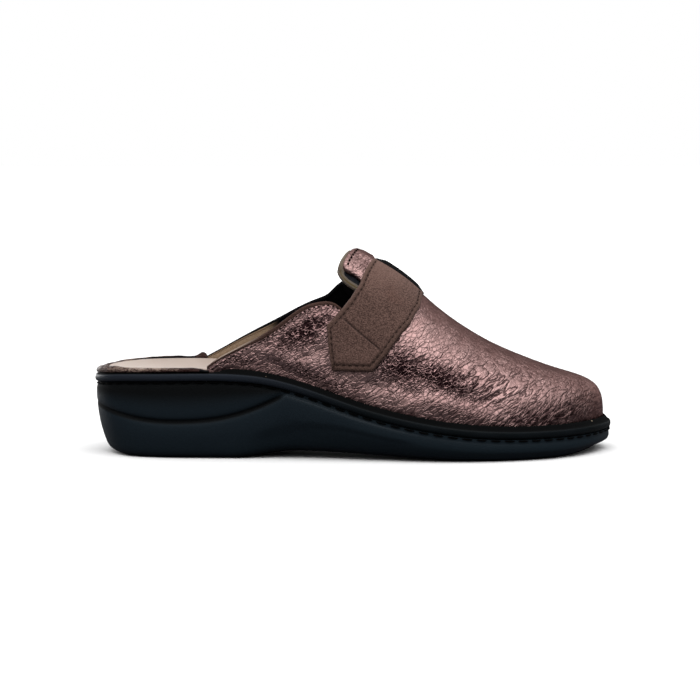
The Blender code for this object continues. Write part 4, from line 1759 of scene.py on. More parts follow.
@dataclass(frozen=True)
class RibbedElastic:
    """Black elastic webbing with ribs across it."""

    base: Colour = (0.0015, 0.0015, 0.002)
    worn: Colour = (0.005, 0.005, 0.006)
    rib: float = 1.1
    grain: float = 0.5
    grain_share: float = 0.4
    rough: float = 0.85
    specular: float = 0.05
    relief: float = 0.15

    def make(self, effects: Effects) -> Material:
        """Make the material.

        Args:
            effects: Shared effects.

        Returns:
            The material.
        """
        material, sketch, shader = start_finish("black_ribbed_elastic")
        ribs = sketch.bands("X", self.rib)
        grain = sketch.effect(effects.grain, Place=sketch.place((self.grain,) * 3))
        height = sketch.math("MULTIPLY_ADD", grain.outputs["Height"], self.grain_share, ribs)
        sketch.feed(shader.inputs["Base Color"], sketch.blend(ribs, self.base, self.worn))
        shader.inputs["Roughness"].default_value = self.rough
        shader.inputs["Specular IOR Level"].default_value = self.specular
        raise_grain(sketch, shader, height, self.relief)
        return material


@dataclass(frozen=True)
class TwistedThread:
    """Sewing thread with a visible twist."""

    name: str
    light: Colour
    dark: Colour
    twist: float = 0.5
    grain: float = 0.6
    rough: float = 0.8
    specular: float = 0.05
    relief: float = 0.08

    def make(self, effects: Effects) -> Material:
        """Make the material.

        Args:
            effects: Shared effects.

        Returns:
            The material.
        """
        material, sketch, shader = start_finish(self.name)
        twist = sketch.bands("DIAGONAL", self.twist)
        dust = sketch.effect(effects.grain, Place=sketch.place((self.grain,) * 3))
        share = sketch.math("MULTIPLY", twist, dust.outputs["Shade"])
        sketch.feed(shader.inputs["Base Color"], sketch.blend(share, self.dark, self.light))
        shader.inputs["Roughness"].default_value = self.rough
        shader.inputs["Specular IOR Level"].default_value = self.specular
        raise_grain(sketch, shader, twist, self.relief)
        return material


@dataclass(frozen=True)
class Finishes:
    """All finishes of the slipper."""

    leather: Material
    suede: Material
    sole: Material
    welt: Material
    footbed: Material
    bead: Material
    binding: Material
    binding_lining: Material
    lining: Material
    pad: Material
    elastic: Material
    brown_thread: Material
    strap_thread: Material
    black_thread: Material

    @classmethod
    def make(cls) -> "Finishes":
        """Make every material once.

        Returns:
            The set of materials.
        """
        effects = Effects()
        plans = dict(
            leather=CrinkledLeather(),
            suede=NappedSuede(),
            sole=MouldedSole(
                "black_moulded_sole", (0.0102, 0.0176, 0.0243), (0.0137, 0.0222, 0.0296), 0.42, 1.1,
                0.12,
            ),
            welt=MouldedSole(
                "black_welt_band", (0.0026, 0.0045, 0.0051), (0.0200, 0.0250, 0.0345), 0.44, 0.8,
                0.07, specks=True,
            ),
            footbed=SmoothLeather(
                "beige_footbed_leather", (0.455, 0.368, 0.316), (0.395, 0.312, 0.265), 0.55,
                0.7, 0.05,
            ),
            bead=CrinkledLeather(
                "crinkled_bead_leather", ridge=(0.340, 0.250, 0.200), body=(0.180, 0.120, 0.098),
                valley=(0.030, 0.013, 0.012), crest_highlight=(0.340, 0.250, 0.205), metallic=0.0,
                fold=(4.5, 3.6, 1.5), net=(2.6, 2.6, 1.6), turn=0.0, depth=0.5, least=0.8,
                gloss=0.5, crumple_shade=0.6, specular=0.15,
            ),
            binding=SmoothLeather(
                "brown_binding_leather", (0.105, 0.058, 0.047), (0.040, 0.019, 0.015), 0.8, 0.9,
                0.3, 0.1, (0.420, 0.330, 0.270),
            ),
            binding_lining=SmoothLeather(
                "black_binding_lining", (0.004, 0.004, 0.005), (0.002, 0.002, 0.003), 0.8, 0.6,
                0.08, 0.06,
            ),
            lining=Lining(),
            pad=LayeredPad(),
            elastic=RibbedElastic(),
            brown_thread=TwistedThread(
                "brown_thread", (0.030, 0.015, 0.012), (0.008, 0.004, 0.003)
            ),
            strap_thread=TwistedThread(
                "strap_thread", (0.082, 0.049, 0.040), (0.036, 0.021, 0.017)
            ),
            black_thread=TwistedThread(
                "black_thread", (0.003, 0.003, 0.004), (0.001, 0.001, 0.001)
            ),
        )
        return cls(**{name: plan.make(effects) for name, plan in plans.items()})


@dataclass(frozen=True)
class StitchRow:
    """Row of short thread stitches along a line."""

    length: float
    pitch: float
    radius: float
    lift: float
    sides: int = 6
    probe: float = 0.2
    arch: float = 0.6
    stops: tuple[float, ...] = (-1.0, -0.8, -0.35, 0.35, 0.8, 1.0)
    girths: tuple[float, ...] = (0.0, 0.75, 1.0, 1.0, 0.75, 0.0)

    def build(
        self, name: str, line: Array, normal: Array, finish: Material
    ) -> bpy.types.Object:
        """Lay the stitches.

        Args:
            name: Name of the piece.
            line: Points that the row follows.
            normal: Outward direction at each point.
            finish: Thread's material.

        Returns:
            One object with all stitches of the row.
        """
        run = arc_lengths(line)
        count = max(1, int((run[-1] - self.length) / self.pitch))
        first = 0.5 * (run[-1] - (count - 1) * self.pitch)
        skin = Skin()
        for number in range(count):
            self.add_stitch(skin, line, normal, run, first + number * self.pitch)
        return make_piece(name, np.array(skin.points), skin.faces, (finish,))

    def add_stitch(
        self, skin: Skin, line: Array, normal: Array, run: Array, middle: float
    ) -> None:
        """Add one stitch to a mesh.

        Args:
            skin: Mesh to add to.
            line: Points that the row follows.
            normal: Outward direction at each point.
            run: Running length at each point.
            middle: Running length of the stitch's middle.
        """
        loops = []
        for stop, girth in zip(self.stops, self.girths):
            at = middle + 0.5 * stop * self.length
            spot, out = read_at(at, run, line), read_at(at, run, normal)
            ahead = read_at(at + self.probe, run, line)
            behind = read_at(at - self.probe, run, line)
            along = (ahead - behind) / max(np.linalg.norm(ahead - behind), 1e-9)
            out = out - along * (out @ along)
            out /= np.linalg.norm(out)
            side = np.cross(along, out)
            spot = spot + out * (self.lift + self.arch * self.radius * (1.0 - stop * stop))
            if girth == 0.0:
                loops.append(skin.add([spot]))
                continue
            turn = np.linspace(0.0, 2.0 * math.pi, self.sides, endpoint=False)
            ring = np.outer(np.cos(turn), out) + np.outer(np.sin(turn), side)
            loops.append(skin.add(spot + ring * self.radius * girth))
        for back, front in zip(loops, loops[1:]):
            if len(back) == 1:
                for i in range(self.sides):
                    skin.face((back[0], front[(i + 1) % self.sides], front[i]))
            elif len(front) == 1:
                for i in range(self.sides):
                    skin.face((back[i], back[(i + 1) % self.sides], front[0]))
            else:
                skin.bridge(back, front)


@dataclass
class Outsole:
    """Wedge unit with tread, moulded side, crescent pad and stitch groove."""

    outline: SoleOutline
    levels: SoleLevels
    finishes: Finishes
    per_side: int = 300
    columns: int = 44
    groove_lip: float = 1.4
    groove_inset: float = 1.8
    tip_flush: float = 0.7
    tip_range: Pair = (-110.0, -129.0)
    fore_flush: float = 0.9
    fore_range: Pair = (-20.0, 40.0)
    stitch_groove: float = 1.4
    tip_reach: float = 24.0
    waist_step: float = 0.8
    waist_blur: float = 0.8
    waist_fade: Triple = (2.0, 8.0, 12.0)
    lug_pitch: float = 9.0
    lug_depth: float = 1.1
    lug_sway: Pair = (3.0, 11.0)
    lug_edge: Pair = (0.10, 0.22)
    lug_stop: Pair = (0.25, 0.55)
    lug_ends: Pair = (117.0, 111.0)
    plain_rim: Pair = (0.80, 0.88)
    darkest: float = 0.95
    pad_shade: Pair = (0.2, 0.75)
    pad_start: Pair = (1.5, 4.0)
    line_shade: Quad = (-2.2, -0.8, 0.2, 1.4)
    stitches: StitchRow = StitchRow(5.2, 7.0, 0.45, 0.0)
    thread_proud: float = 0.1
    thread_drop: float = 0.45
    crescent: Table = rows_of(
        "x height",
        (-129.0, 25.0), (-119.0, 22.2), (-106.5, 19.6), (-92.0, 18.3), (-81.0, 18.4),
        (-67.0, 19.8), (-53.0, 23.3), (-43.0, 27.3), (-32.5, 32.6), (-20.0, 39.5),
    )
    side: Table = rows_of(
        "share inset arch heel toe limit",
        (0.00, 6.5, 4.5, 7.0, 7.0, 0.0),
        (0.14, 3.6, 4.0, 5.5, 5.0, 1.2),
        (0.40, 1.9, 3.0, 4.0, 3.0, 3.2),
        (0.55, 0.7, 0.3, 2.0, 1.0, 99.0),
        (0.78, 0.4, 0.1, 1.3, 0.5, 99.0),
        (1.00, 0.6, 0.0, 0.4, 0.2, 99.0),
    )
    bulge_range: Pair = (2.0, 7.0)
    bulge_loss: float = 0.7
    pad_rows: Table = rows_of(
        "proud limit share hung",
        (0.0, -0.42, 0.00, 0.0),
        (0.0, 0.5, 0.25, 0.0),
        (1.2, 1.7, 0.40, 0.0),
        (1.6, 99.0, 0.55, 0.0),
        (1.1, 1.9, 0.30, 1.0),
        (0.0, 1.2, 0.15, 1.0),
        (0.0, 0.0, 0.00, 1.0),
    )
    waist_line: Table = rows_of(
        "x height",
        (-49.9, 9.8), (-38.4, 14.2), (-28.7, 16.5), (-16.7, 17.0), (-6.1, 15.8), (8.7, 12.7),
        (31.1, 8.7),
    )

    def groove_depth(self, x: Array) -> Array:
        """Depth of the grooves, less at the heel's tip and along the forefoot."""
        tip = self.tip_flush * smooth_step(*self.tip_range, x)
        return self.groove_inset - tip - self.fore_flush * smooth_step(*self.fore_range, x)

    def section(self, chosen: Array) -> Array:
        """Place the side's rows of points from the tread up to the seat.

        Args:
            chosen: Numbers of the outline samples.

        Returns:
            Rows of points, the lowest first.
        """
        x = self.outline.points[chosen, 0]
        reach_from = self.outline.length / 2.0 - self.tip_reach
        near_heel = np.clip((-x - reach_from) / self.tip_reach, 0.0, 1.0) ** 2
        near_toe = np.clip((x - reach_from) / self.tip_reach, 0.0, 1.0) ** 2
        arch = self.levels.arch(x)
        top = self.levels.seat_top(x)
        groove = spline(self.crescent["x"], self.crescent["height"], x)
        groove = np.minimum(groove, top - self.stitch_groove)
        lip = groove - self.groove_lip
        rows = []
        floor = None
        for share, inset, at_arch, at_heel, at_toe, limit in zip(*self.side.values()):
            depth = inset + at_arch * arch + at_heel * near_heel + at_toe * near_toe
            plan = self.outline.ring(chosen, depth)
            if floor is None:
                floor = self.levels.tread(plan[:, 0])
            rows.append(np.column_stack((plan, floor + np.minimum(share * (lip - floor), limit))))
        pad = top - groove
        bulge = smooth_step(*self.bulge_range, pad) * (1.0 - self.bulge_loss * near_heel)
        for proud, limit, share, hung in zip(*self.pad_rows.values()):
            step = np.minimum(limit, share * pad)
            height = top - step if hung else groove + step
            plan = self.outline.ring(chosen, self.groove_depth(x) - proud * bulge)
            rows.append(np.column_stack((plan, height)))
        return np.array(rows)

    def press_waist(self, rows: Array, chosen: Array) -> Array:
        """Set the side back a little below the line across the waist.

        Args:
            rows: Rows of points.
            chosen: Numbers of the outline samples.

        Returns:
            The rows with the step.
        """
        x, z = rows[..., 0], rows[..., 2]
        line = spline(self.waist_line["x"], self.waist_line["height"], x)
        below = smooth_step(-self.waist_blur, self.waist_blur, line - z)
        low, high = self.waist_line["x"][0], self.waist_line["x"][-1]
        before, after, ahead = self.waist_fade
        within = window(low - before, low + after, high - ahead, high, x)
        moved = rows.copy()
        step = (self.waist_step * below * within)[..., None]
        moved[..., :2] += self.outline.inward[chosen][None] * step
        return moved

    def lugs(self, x: Array, y: Array, share: Array) -> Array:
        """Height of the tread's underside with its wavy grooves.

        Args:
            x: Places along the sole.
            y: Places across the sole.
            share: Shares from side to side.

        Returns:
            Heights of the underside.
        """
        sway, length = self.lug_sway
        wave = (x + sway * np.sin(y / length)) / self.lug_pitch
        inside = np.abs(wave - np.floor(wave) - 0.5)
        groove = 1.0 - smooth_step(*self.lug_edge, inside)
        plain = smooth_step(*self.plain_rim, np.abs(share))
        waist = self.levels.arch(x)
        groove = groove * (1.0 - plain) * (1.0 - smooth_step(*self.lug_stop, waist))
        ends = smooth_step(*self.lug_ends, np.abs(x))
        return self.levels.tread(x) + self.lug_depth * groove * ends

    def shade(self, points: Array) -> Array:
        """Find the painted shade: the shadow on the pad's upper part under the welt, and the dark
        line along the groove under it.

        Args:
            points: Points of the unit.

        Returns:
            Shares from 0 to 1.
        """
        x, z = points[:, 0], points[:, 2]
        groove = spline(self.crescent["x"], self.crescent["height"], x)
        pad = np.maximum(self.levels.seat_top(x) - groove, 0.0)
        upper = smooth_step(*self.pad_shade, (z - groove) / np.maximum(pad, 1.0))
        line = window(*self.line_shade, z - groove)
        return self.darkest * np.maximum(upper, line) * smooth_step(*self.pad_start, pad)

    def build(self) -> None:
        """Build the unit and the stitches in its groove."""
        chosen = self.outline.stations(self.per_side)
        rows = self.press_waist(round_off(self.section(chosen), 2), chosen)
        skin = Skin()
        rings = skin.wrap(rows)
        skin.cap(rings[0], self.lugs, self.columns, up=False)
        skin.cap(rings[-1], lambda x, y, s: self.levels.seat_top(x), self.columns, up=True)
        points = np.array(skin.points)
        piece = make_piece(
            "moulded_sole", points, skin.faces, (self.finishes.sole,),
            values={"shade": self.shade(points)},
        )
        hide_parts("outsole")
        self.build_stitches()

    def build_stitches(self) -> None:
        """Lay the thread in the groove under the welt."""
        chosen = np.append(self.outline.stations(self.per_side), 0)
        depth = self.groove_depth(self.outline.points[chosen, 0])
        plan = self.outline.ring(chosen, depth - self.thread_proud)
        height = self.levels.seat_top(plan[:, 0]) - self.thread_drop
        outward = np.column_stack((-self.outline.inward[chosen], np.zeros(len(chosen))))
        line = np.column_stack((plan, height))
        piece = self.stitches.build("sole_stitches", line, outward, self.finishes.black_thread)


@dataclass
class Welt:
    """Black band round the edge, its top rising to the upper."""

    outline: SoleOutline
    levels: SoleLevels
    finishes: Finishes
    per_side: int = 300
    inner_inset: float = 3.5
    ledge_range: Pair = (-0.5, 0.1)
    dust: float = 0.9
    dust_range: Pair = (-70.0, 10.0)
    speck_range: Pair = (-50.0, -40.0)

    def build(self) -> None:
        """Build the band."""
        levels = self.levels
        chosen = self.outline.stations(self.per_side)
        section = (
            (1.0, levels.layer_floor),
            (0.0, lambda x: levels.layer_floor(x) + 1.0),
            (0.0, lambda x: levels.welt_top(x) - 0.9),
            (0.45, lambda x: levels.welt_top(x) - 0.1),
            (1.3, lambda x: levels.welt_top(x) + 0.5 * levels.shoulder_low),
            (2.6, lambda x: levels.welt_top(x) + 0.75 * levels.shoulder(x)),
            (self.inner_inset, lambda x: levels.welt_top(x) + levels.shoulder(x)),
            (self.inner_inset, levels.layer_floor),
        )
        rows = []
        for inset, height in section:
            plan = self.outline.ring(chosen, inset)
            rows.append(np.column_stack((plan, height(plan[:, 0]))))
        rows = round_off(np.array(rows), 2, closed=True)
        skin = Skin()
        skin.wrap(rows, closed=True)
        points = np.array(skin.points)
        rise = points[:, 2] - levels.welt_top(points[:, 0])
        shade = smooth_step(*self.ledge_range, rise)
        dust = self.dust * (1.0 - smooth_step(*self.dust_range, points[:, 0]))
        speck = shade * smooth_step(*self.speck_range, points[:, 0])
        piece = make_piece(
            "welt_band", points, skin.faces, (self.finishes.welt,),
            values={"shade": shade, "dust": dust, "speck": speck},
        )
        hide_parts("welt")


@dataclass
class Footbed:
    """Leather footbed, dished at the heel."""

    outline: SoleOutline
    levels: SoleLevels
    finishes: Finishes
    per_side: int = 220
    columns: int = 40
    inset: float = 6.5
    edge: float = 0.8
    thickness: float = 5.3
    dish: Table = rows_of(
        "x depth",
        (-123.0, 0.0), (-110.0, 0.6), (-85.0, 1.3), (-50.0, 0.9), (-20.0, 0.3),
        (40.0, 0.8), (90.0, 0.6), (123.0, 0.0),
    )
    rim: Table = rows_of(
        "x lift",
        (-123.0, 1.6), (-114.0, 1.1), (-100.0, 0.9), (-80.0, 0.5), (-64.0, 0.0),
        (0.0, 0.0), (123.0, 0.0),
    )

    def top(self, x: Array, y: Array, share: Array) -> Array:
        """Height of the dished upper face.

        Args:
            x: Places along the sole.
            y: Places across the sole; not used.
            share: Shares from side to side.

        Returns:
            Heights of the face.
        """
        depth = spline(self.dish["x"], self.dish["depth"], x)
        return self.edge_top(x) - depth * (1.0 - share * share)

    def edge_top(self, x: Array) -> Array:
        """Height of the upper face at its edge, lifted round the heel."""
        return self.levels.layer_floor(x) + self.thickness + np.interp(
            x, self.rim["x"], self.rim["lift"]
        )

    def build(self) -> None:
        """Build the footbed."""
        chosen = self.outline.stations(self.per_side)
        rows = []
        floor, edge_top = self.levels.layer_floor, self.edge_top
        for inset, level, rise in (
            (self.edge, floor, 0.0), (0.0, floor, self.edge),
            (0.0, edge_top, -self.edge), (self.edge, edge_top, 0.0),
        ):
            plan = self.outline.ring(chosen, self.inset + inset)
            rows.append(np.column_stack((plan, level(plan[:, 0]) + rise)))
        skin = Skin()
        rings = skin.wrap(round_off(np.array(rows), 2))
        skin.cap(rings[0], lambda x, y, s: self.levels.layer_floor(x), self.columns, up=False)
        skin.cap(rings[-1], self.top, self.columns, up=True)
        piece = make_piece("footbed", np.array(skin.points), skin.faces, (self.finishes.footbed,))
        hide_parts("insole")


@dataclass
class HeelBead:
    """Leather bead over the footbed's edge at the heel."""

    outline: SoleOutline
    levels: SoleLevels
    finishes: Finishes
    stations: int = 170
    foot: float = 0.65
    rise: float = 1.9
    knob: PerSide = PerSide(0.25, 0.9)
    knob_middle: float = 3.4
    knob_width: float = 2.6
    end_ease: PerSide = PerSide(9.0, 1.6)
    wave: float = 0.16
    feather_inset: float = 3.8
    inner_face: float = 6.2
    ends: PerSide = PerSide(-70.6, -74.2)
    dark_from: float = 4.2
    brown_end: float = 7.5
    black_end: float = 4.0
    tip_swell: float = 0.65
    tip_range: Pair = (-108.0, -122.0)
    tip_across: Pair = (-6.0, 12.0)
    tip_far_loss: float = 0.6
    far_swell: float = 0.45
    far_place: Pair = (-98.0, 14.0)
    end_least: float = 0.2
    ripple: Triple = (6.0, 0.3, 0.7)
    tip_brown: float = -115.0
    end_shade: Triple = (1.9, 8.0, 26.0)
    tip_shade: Triple = (0.9, -112.0, -124.0)
    low_shade: float = 1.6
    low_range: Pair = (1.5, 0.5)
    low_start: Pair = (-112.0, -92.0)
    crumple: float = 0.4

    def path(self) -> tuple[Array, Array, Array, Array]:
        """Follow the heel from the medial end to the lateral end.

        Returns:
            Plan points, inward normals, swelling and distance to the nearer end.
        """
        outline = self.outline
        lateral = outline.branch(Side.LATERAL, 0.0)
        heel = np.vstack((outline.branch(Side.MEDIAL, 0.0)[::-1], lateral[1:]))
        normal = np.vstack((
            outline.inward[outline.toe:], outline.inward[:1], outline.inward[1:outline.toe + 1],
        ))
        run = arc_lengths(heel)
        middle = int(heel[:, 0].argmin())
        start = int(np.abs(heel[:middle, 0] - self.ends.medial).argmin())
        end = middle + int(np.abs(heel[middle:, 0] - self.ends.lateral).argmin())
        at = np.linspace(run[start], run[end], self.stations)
        plan = read_at(at, run, heel)
        inward = read_at(at, run, normal)
        inward /= np.linalg.norm(inward, axis=1)[:, None]
        from_end = np.minimum(at - at[0], at[-1] - at)
        knob = np.where(at - at[0] < at[-1] - at, self.knob.medial, self.knob.lateral)
        swell = 1.0 + knob * bump_at(self.knob_middle, self.knob_width, from_end)
        ease = np.where(plan[:, 1] < 0.0, self.end_ease.lateral, self.end_ease.medial)
        least = self.end_least
        swell *= least + (1.0 - least) * smooth_step(0.0, 1.0, from_end / ease)
        tip = self.tip_swell * smooth_step(*self.tip_range, plan[:, 0])
        swell *= 1.0 + tip * (1.0 - self.tip_far_loss * smooth_step(*self.tip_across, plan[:, 1]))
        far = bump_at(*self.far_place, plan[:, 0]) * (plan[:, 1] > 0.0)
        swell *= 1.0 + self.far_swell * far
        length, *row = self.ripple
        ripple = np.array([noise.noise(Vector((step / length, *row))) for step in at])
        return plan, inward, swell * (1.0 + self.wave * ripple), from_end

    def build(self) -> None:
        """Build the bead."""
        plan, inward, swell, from_end = self.path()
        rise_here = self.rise * swell
        root = self.levels.gap - self.levels.band
        section = (
            (0.9, self.foot, 0.0), (0.5, self.foot, 0.3), (0.8, self.foot, 0.7),
            (2.2, self.foot, 1.0), (4.4, self.foot, 1.0), (5.8, self.foot, 0.7),
            (self.inner_face, self.foot, 0.2), (self.inner_face, root, 0.0),
            (self.feather_inset, root, 0.0), (self.feather_inset, self.foot, 0.0),
        )
        rows = []
        for inset, foot, rise in section:
            spot = plan + inward * inset
            height = self.levels.welt_top(spot[:, 0]) + foot + rise * rise_here
            rows.append(np.column_stack((spot, height)))
        rows = round_off(np.array(rows), 2, closed=True)
        inset = round_off(np.array([part[0] for part in section]), 2, closed=True)
        skin = Skin()
        lines = [skin.add(row) for row in rows]
        for number, (low, high) in enumerate(zip(lines, lines[1:] + lines[:1])):
            skin.bridge(low, high, closed=False)
            dark = (from_end > self.brown_end) & (inset[number] > self.dark_from)
            dark &= plan[:, 0] > self.tip_brown
            dark |= (from_end < self.black_end) & (plan[:, 1] < 0.0)
            skin.marks[1 - len(dark):] = dark[1:].astype(int).tolist()
        skin.face([line[0] for line in lines])
        skin.face([line[-1] for line in lines][::-1])
        points = np.array(skin.points)
        most, *reach = self.end_shade
        shade = most * (1.0 - smooth_step(*reach, from_end))
        most, *reach = self.tip_shade
        shade = np.maximum(shade, most * smooth_step(*reach, plan[:, 0]))
        low = points[:, 2] - self.levels.welt_top(points[:, 0]) - self.foot
        low = smooth_step(*self.low_range, low) * smooth_step(*self.low_start, points[:, 0])
        piece = make_piece(
            "heel_bead", points, skin.faces,
            (self.finishes.bead, self.finishes.binding_lining), skin.marks,
            {
                "crumple": np.full(len(points), self.crumple),
                "shade": np.maximum(np.tile(shade, len(lines)), self.low_shade * low),
            },
        )
        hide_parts("heel_binding")


@dataclass(frozen=True)
class Crease:
    """Soft fold as seen from the side; a negative depth stands out as a ridge."""

    line: tuple[Pair, ...]
    width: float
    depth: float


@dataclass(frozen=True)
class CrumpleZone:
    """Oval patch of heavily crinkled leather as seen from the side."""

    x: float
    height: float
    along: float
    across: float
    tilt: float
    strength: float


@dataclass
class Relief:
    """Folds and crumples of the leather, placed in the shoe's own sizes."""

    pattern: UpperPattern
    creases: tuple[Crease, ...] = (
        Crease(
            ((-46.9, 50.3), (-39.9, 47.1), (-34.0, 43.0), (-23.8, 39.7), (-14.6, 35.1)), 2.2, 0.7
        ),
        Crease(((-60.7, 52.0), (-52.4, 51.4), (-46.0, 49.8)), 1.5, 0.4),
        Crease(((-50.1, 53.0), (-39.5, 50.7), (-28.5, 47.0), (-16.9, 45.6)), 3.2, -0.75),
        Crease(((-64.3, 47.0), (-52.3, 46.1), (-40.8, 44.2)), 1.2, 0.5),
        Crease(((10.0, 38.0), (20.0, 38.5), (30.0, 37.0)), 6.5, 1.5),
        Crease(((26.0, 38.0), (38.0, 35.2), (49.0, 32.0), (58.0, 29.4), (66.0, 27.5)), 4.8, 1.7),
        Crease(((36.0, 31.0), (50.0, 26.0), (62.0, 22.5)), 4.5, -0.6),
        Crease(((53.7, 39.9), (64.7, 46.0)), 1.3, 0.5),
        Crease(((59.4, 39.0), (72.8, 45.8)), 1.2, 0.45),
        Crease(((64.9, 30.4), (82.1, 39.7)), 1.3, 0.5),
        Crease(((74.0, 29.0), (90.0, 36.0)), 1.2, 0.4),
        Crease(((47.0, 51.9), (56.2, 59.3)), 1.4, 0.35),
    )
    crumpled_zones: tuple[CrumpleZone, ...] = (
        CrumpleZone(-23.5, 62.5, 18.0, 7.0, 28.0, 1.0),
        CrumpleZone(-20.0, 41.0, 22.0, 3.5, -22.0, 0.6),
        CrumpleZone(-55.0, 48.0, 14.0, 4.0, -6.0, 0.5),
        CrumpleZone(23.0, 45.0, 13.0, 9.0, -20.0, 1.0),
        CrumpleZone(40.0, 41.0, 22.0, 6.5, -25.0, 1.0),
    )
    wrinkled_zones: tuple[CrumpleZone, ...] = (
        CrumpleZone(72.0, 36.0, 24.0, 10.0, -14.0, 0.9),
        CrumpleZone(104.0, 28.0, 22.0, 11.0, -6.0, 0.6),
        CrumpleZone(20.0, 31.0, 42.0, 7.0, -14.0, 0.3),
        CrumpleZone(5.0, 93.0, 8.0, 9.0, 60.0, 0.4),
    )
    wrinkle: Triple = (6.5, 6.0, 2.4)
    tilt: float = 36.0
    calm: float = 0.05
    wrinkled: float = 0.16
    crumpled: float = 0.36
    foot_range: Pair = (86.5, 89.5)
    free_edge: Pair = (0.5, 4.0)
    collar_line: Pair = (2.0, 2.0)
    throat_range: Pair = (24.0, 14.0)
    throat_half: float = 40.0
    side_range: Pair = (4.0, 14.0)
    crease_step: float = 2.0
    fold_middle: float = 0.4
    deepest: float = 1.7

    def strength(self, zones: Sequence[CrumpleZone], points: Array) -> Array:
        """Share of some zones at points of the skin.

        Args:
            zones: Zones to read.
            points: Points on the form.

        Returns:
            Shares from 0 to 1.
        """
        total = np.zeros(len(points))
        for zone in zones:
            along, across = turned(points[:, 0] - zone.x, points[:, 2] - zone.height, zone.tilt)
            away = (along / zone.along) ** 2 + (across / zone.across) ** 2
            total = np.maximum(total, zone.strength * np.exp(-away))
        return total

    def free(self, flat: Array) -> Array:
        """Share of free leather: none under the strap, at the tongue or at the edges.

        Args:
            flat: Flat pattern points.

        Returns:
            Shares from 0 to 1.
        """
        form = self.pattern.form
        free = 1.0 - smooth_step(*self.foot_range, np.abs(flat[:, 1]) / form.girth_scale)
        for corners in (self.pattern.strap_corners(), form.over_instep(self.pattern.elastic)):
            covered = inside_of(corners, flat)
            away = distance_to(shut(corners), flat)
            free = free * np.where(covered, 0.0, smooth_step(*self.free_edge, away))
        for side in Side:
            away = distance_to(self.pattern.below_collar(side, *self.collar_line), flat)
            free = free * smooth_step(*self.free_edge, away)
        throat = np.abs(flat[:, 1]) < self.throat_half
        return free * (1.0 - smooth_step(*self.throat_range, flat[:, 0]) * throat)

    def height(self, flat: Array, points: Array) -> Array:
        """Height of the folds at points of the skin.

        Args:
            flat: Flat pattern points.
            points: The same points on the form.

        Returns:
            Distances from the form, positive outward.
        """
        seen = points[:, (0, 2)]
        on_side = smooth_step(*self.side_range, np.abs(flat[:, 1]))
        total = np.zeros(len(flat))
        for crease in self.creases:
            line = curve_through(np.array(crease.line), self.crease_step)
            away = distance_to(line, seen)
            total -= crease.depth * np.exp(-(away / crease.width) ** 2) * on_side
        total = np.maximum(total, -self.deepest)
        along, across = turned(*seen.T, self.tilt)
        spots = (np.column_stack((along, points[:, 1], across)) / self.wrinkle).tolist()
        fold = np.array([1.0 - 2.0 * abs(noise.noise(Vector(spot))) for spot in spots])
        amount = self.calm + self.crumpled * self.strength(self.crumpled_zones, points)
        amount += self.wrinkled * self.strength(self.wrinkled_zones, points)
        return (total + amount * (fold - self.fold_middle)) * self.free(flat)


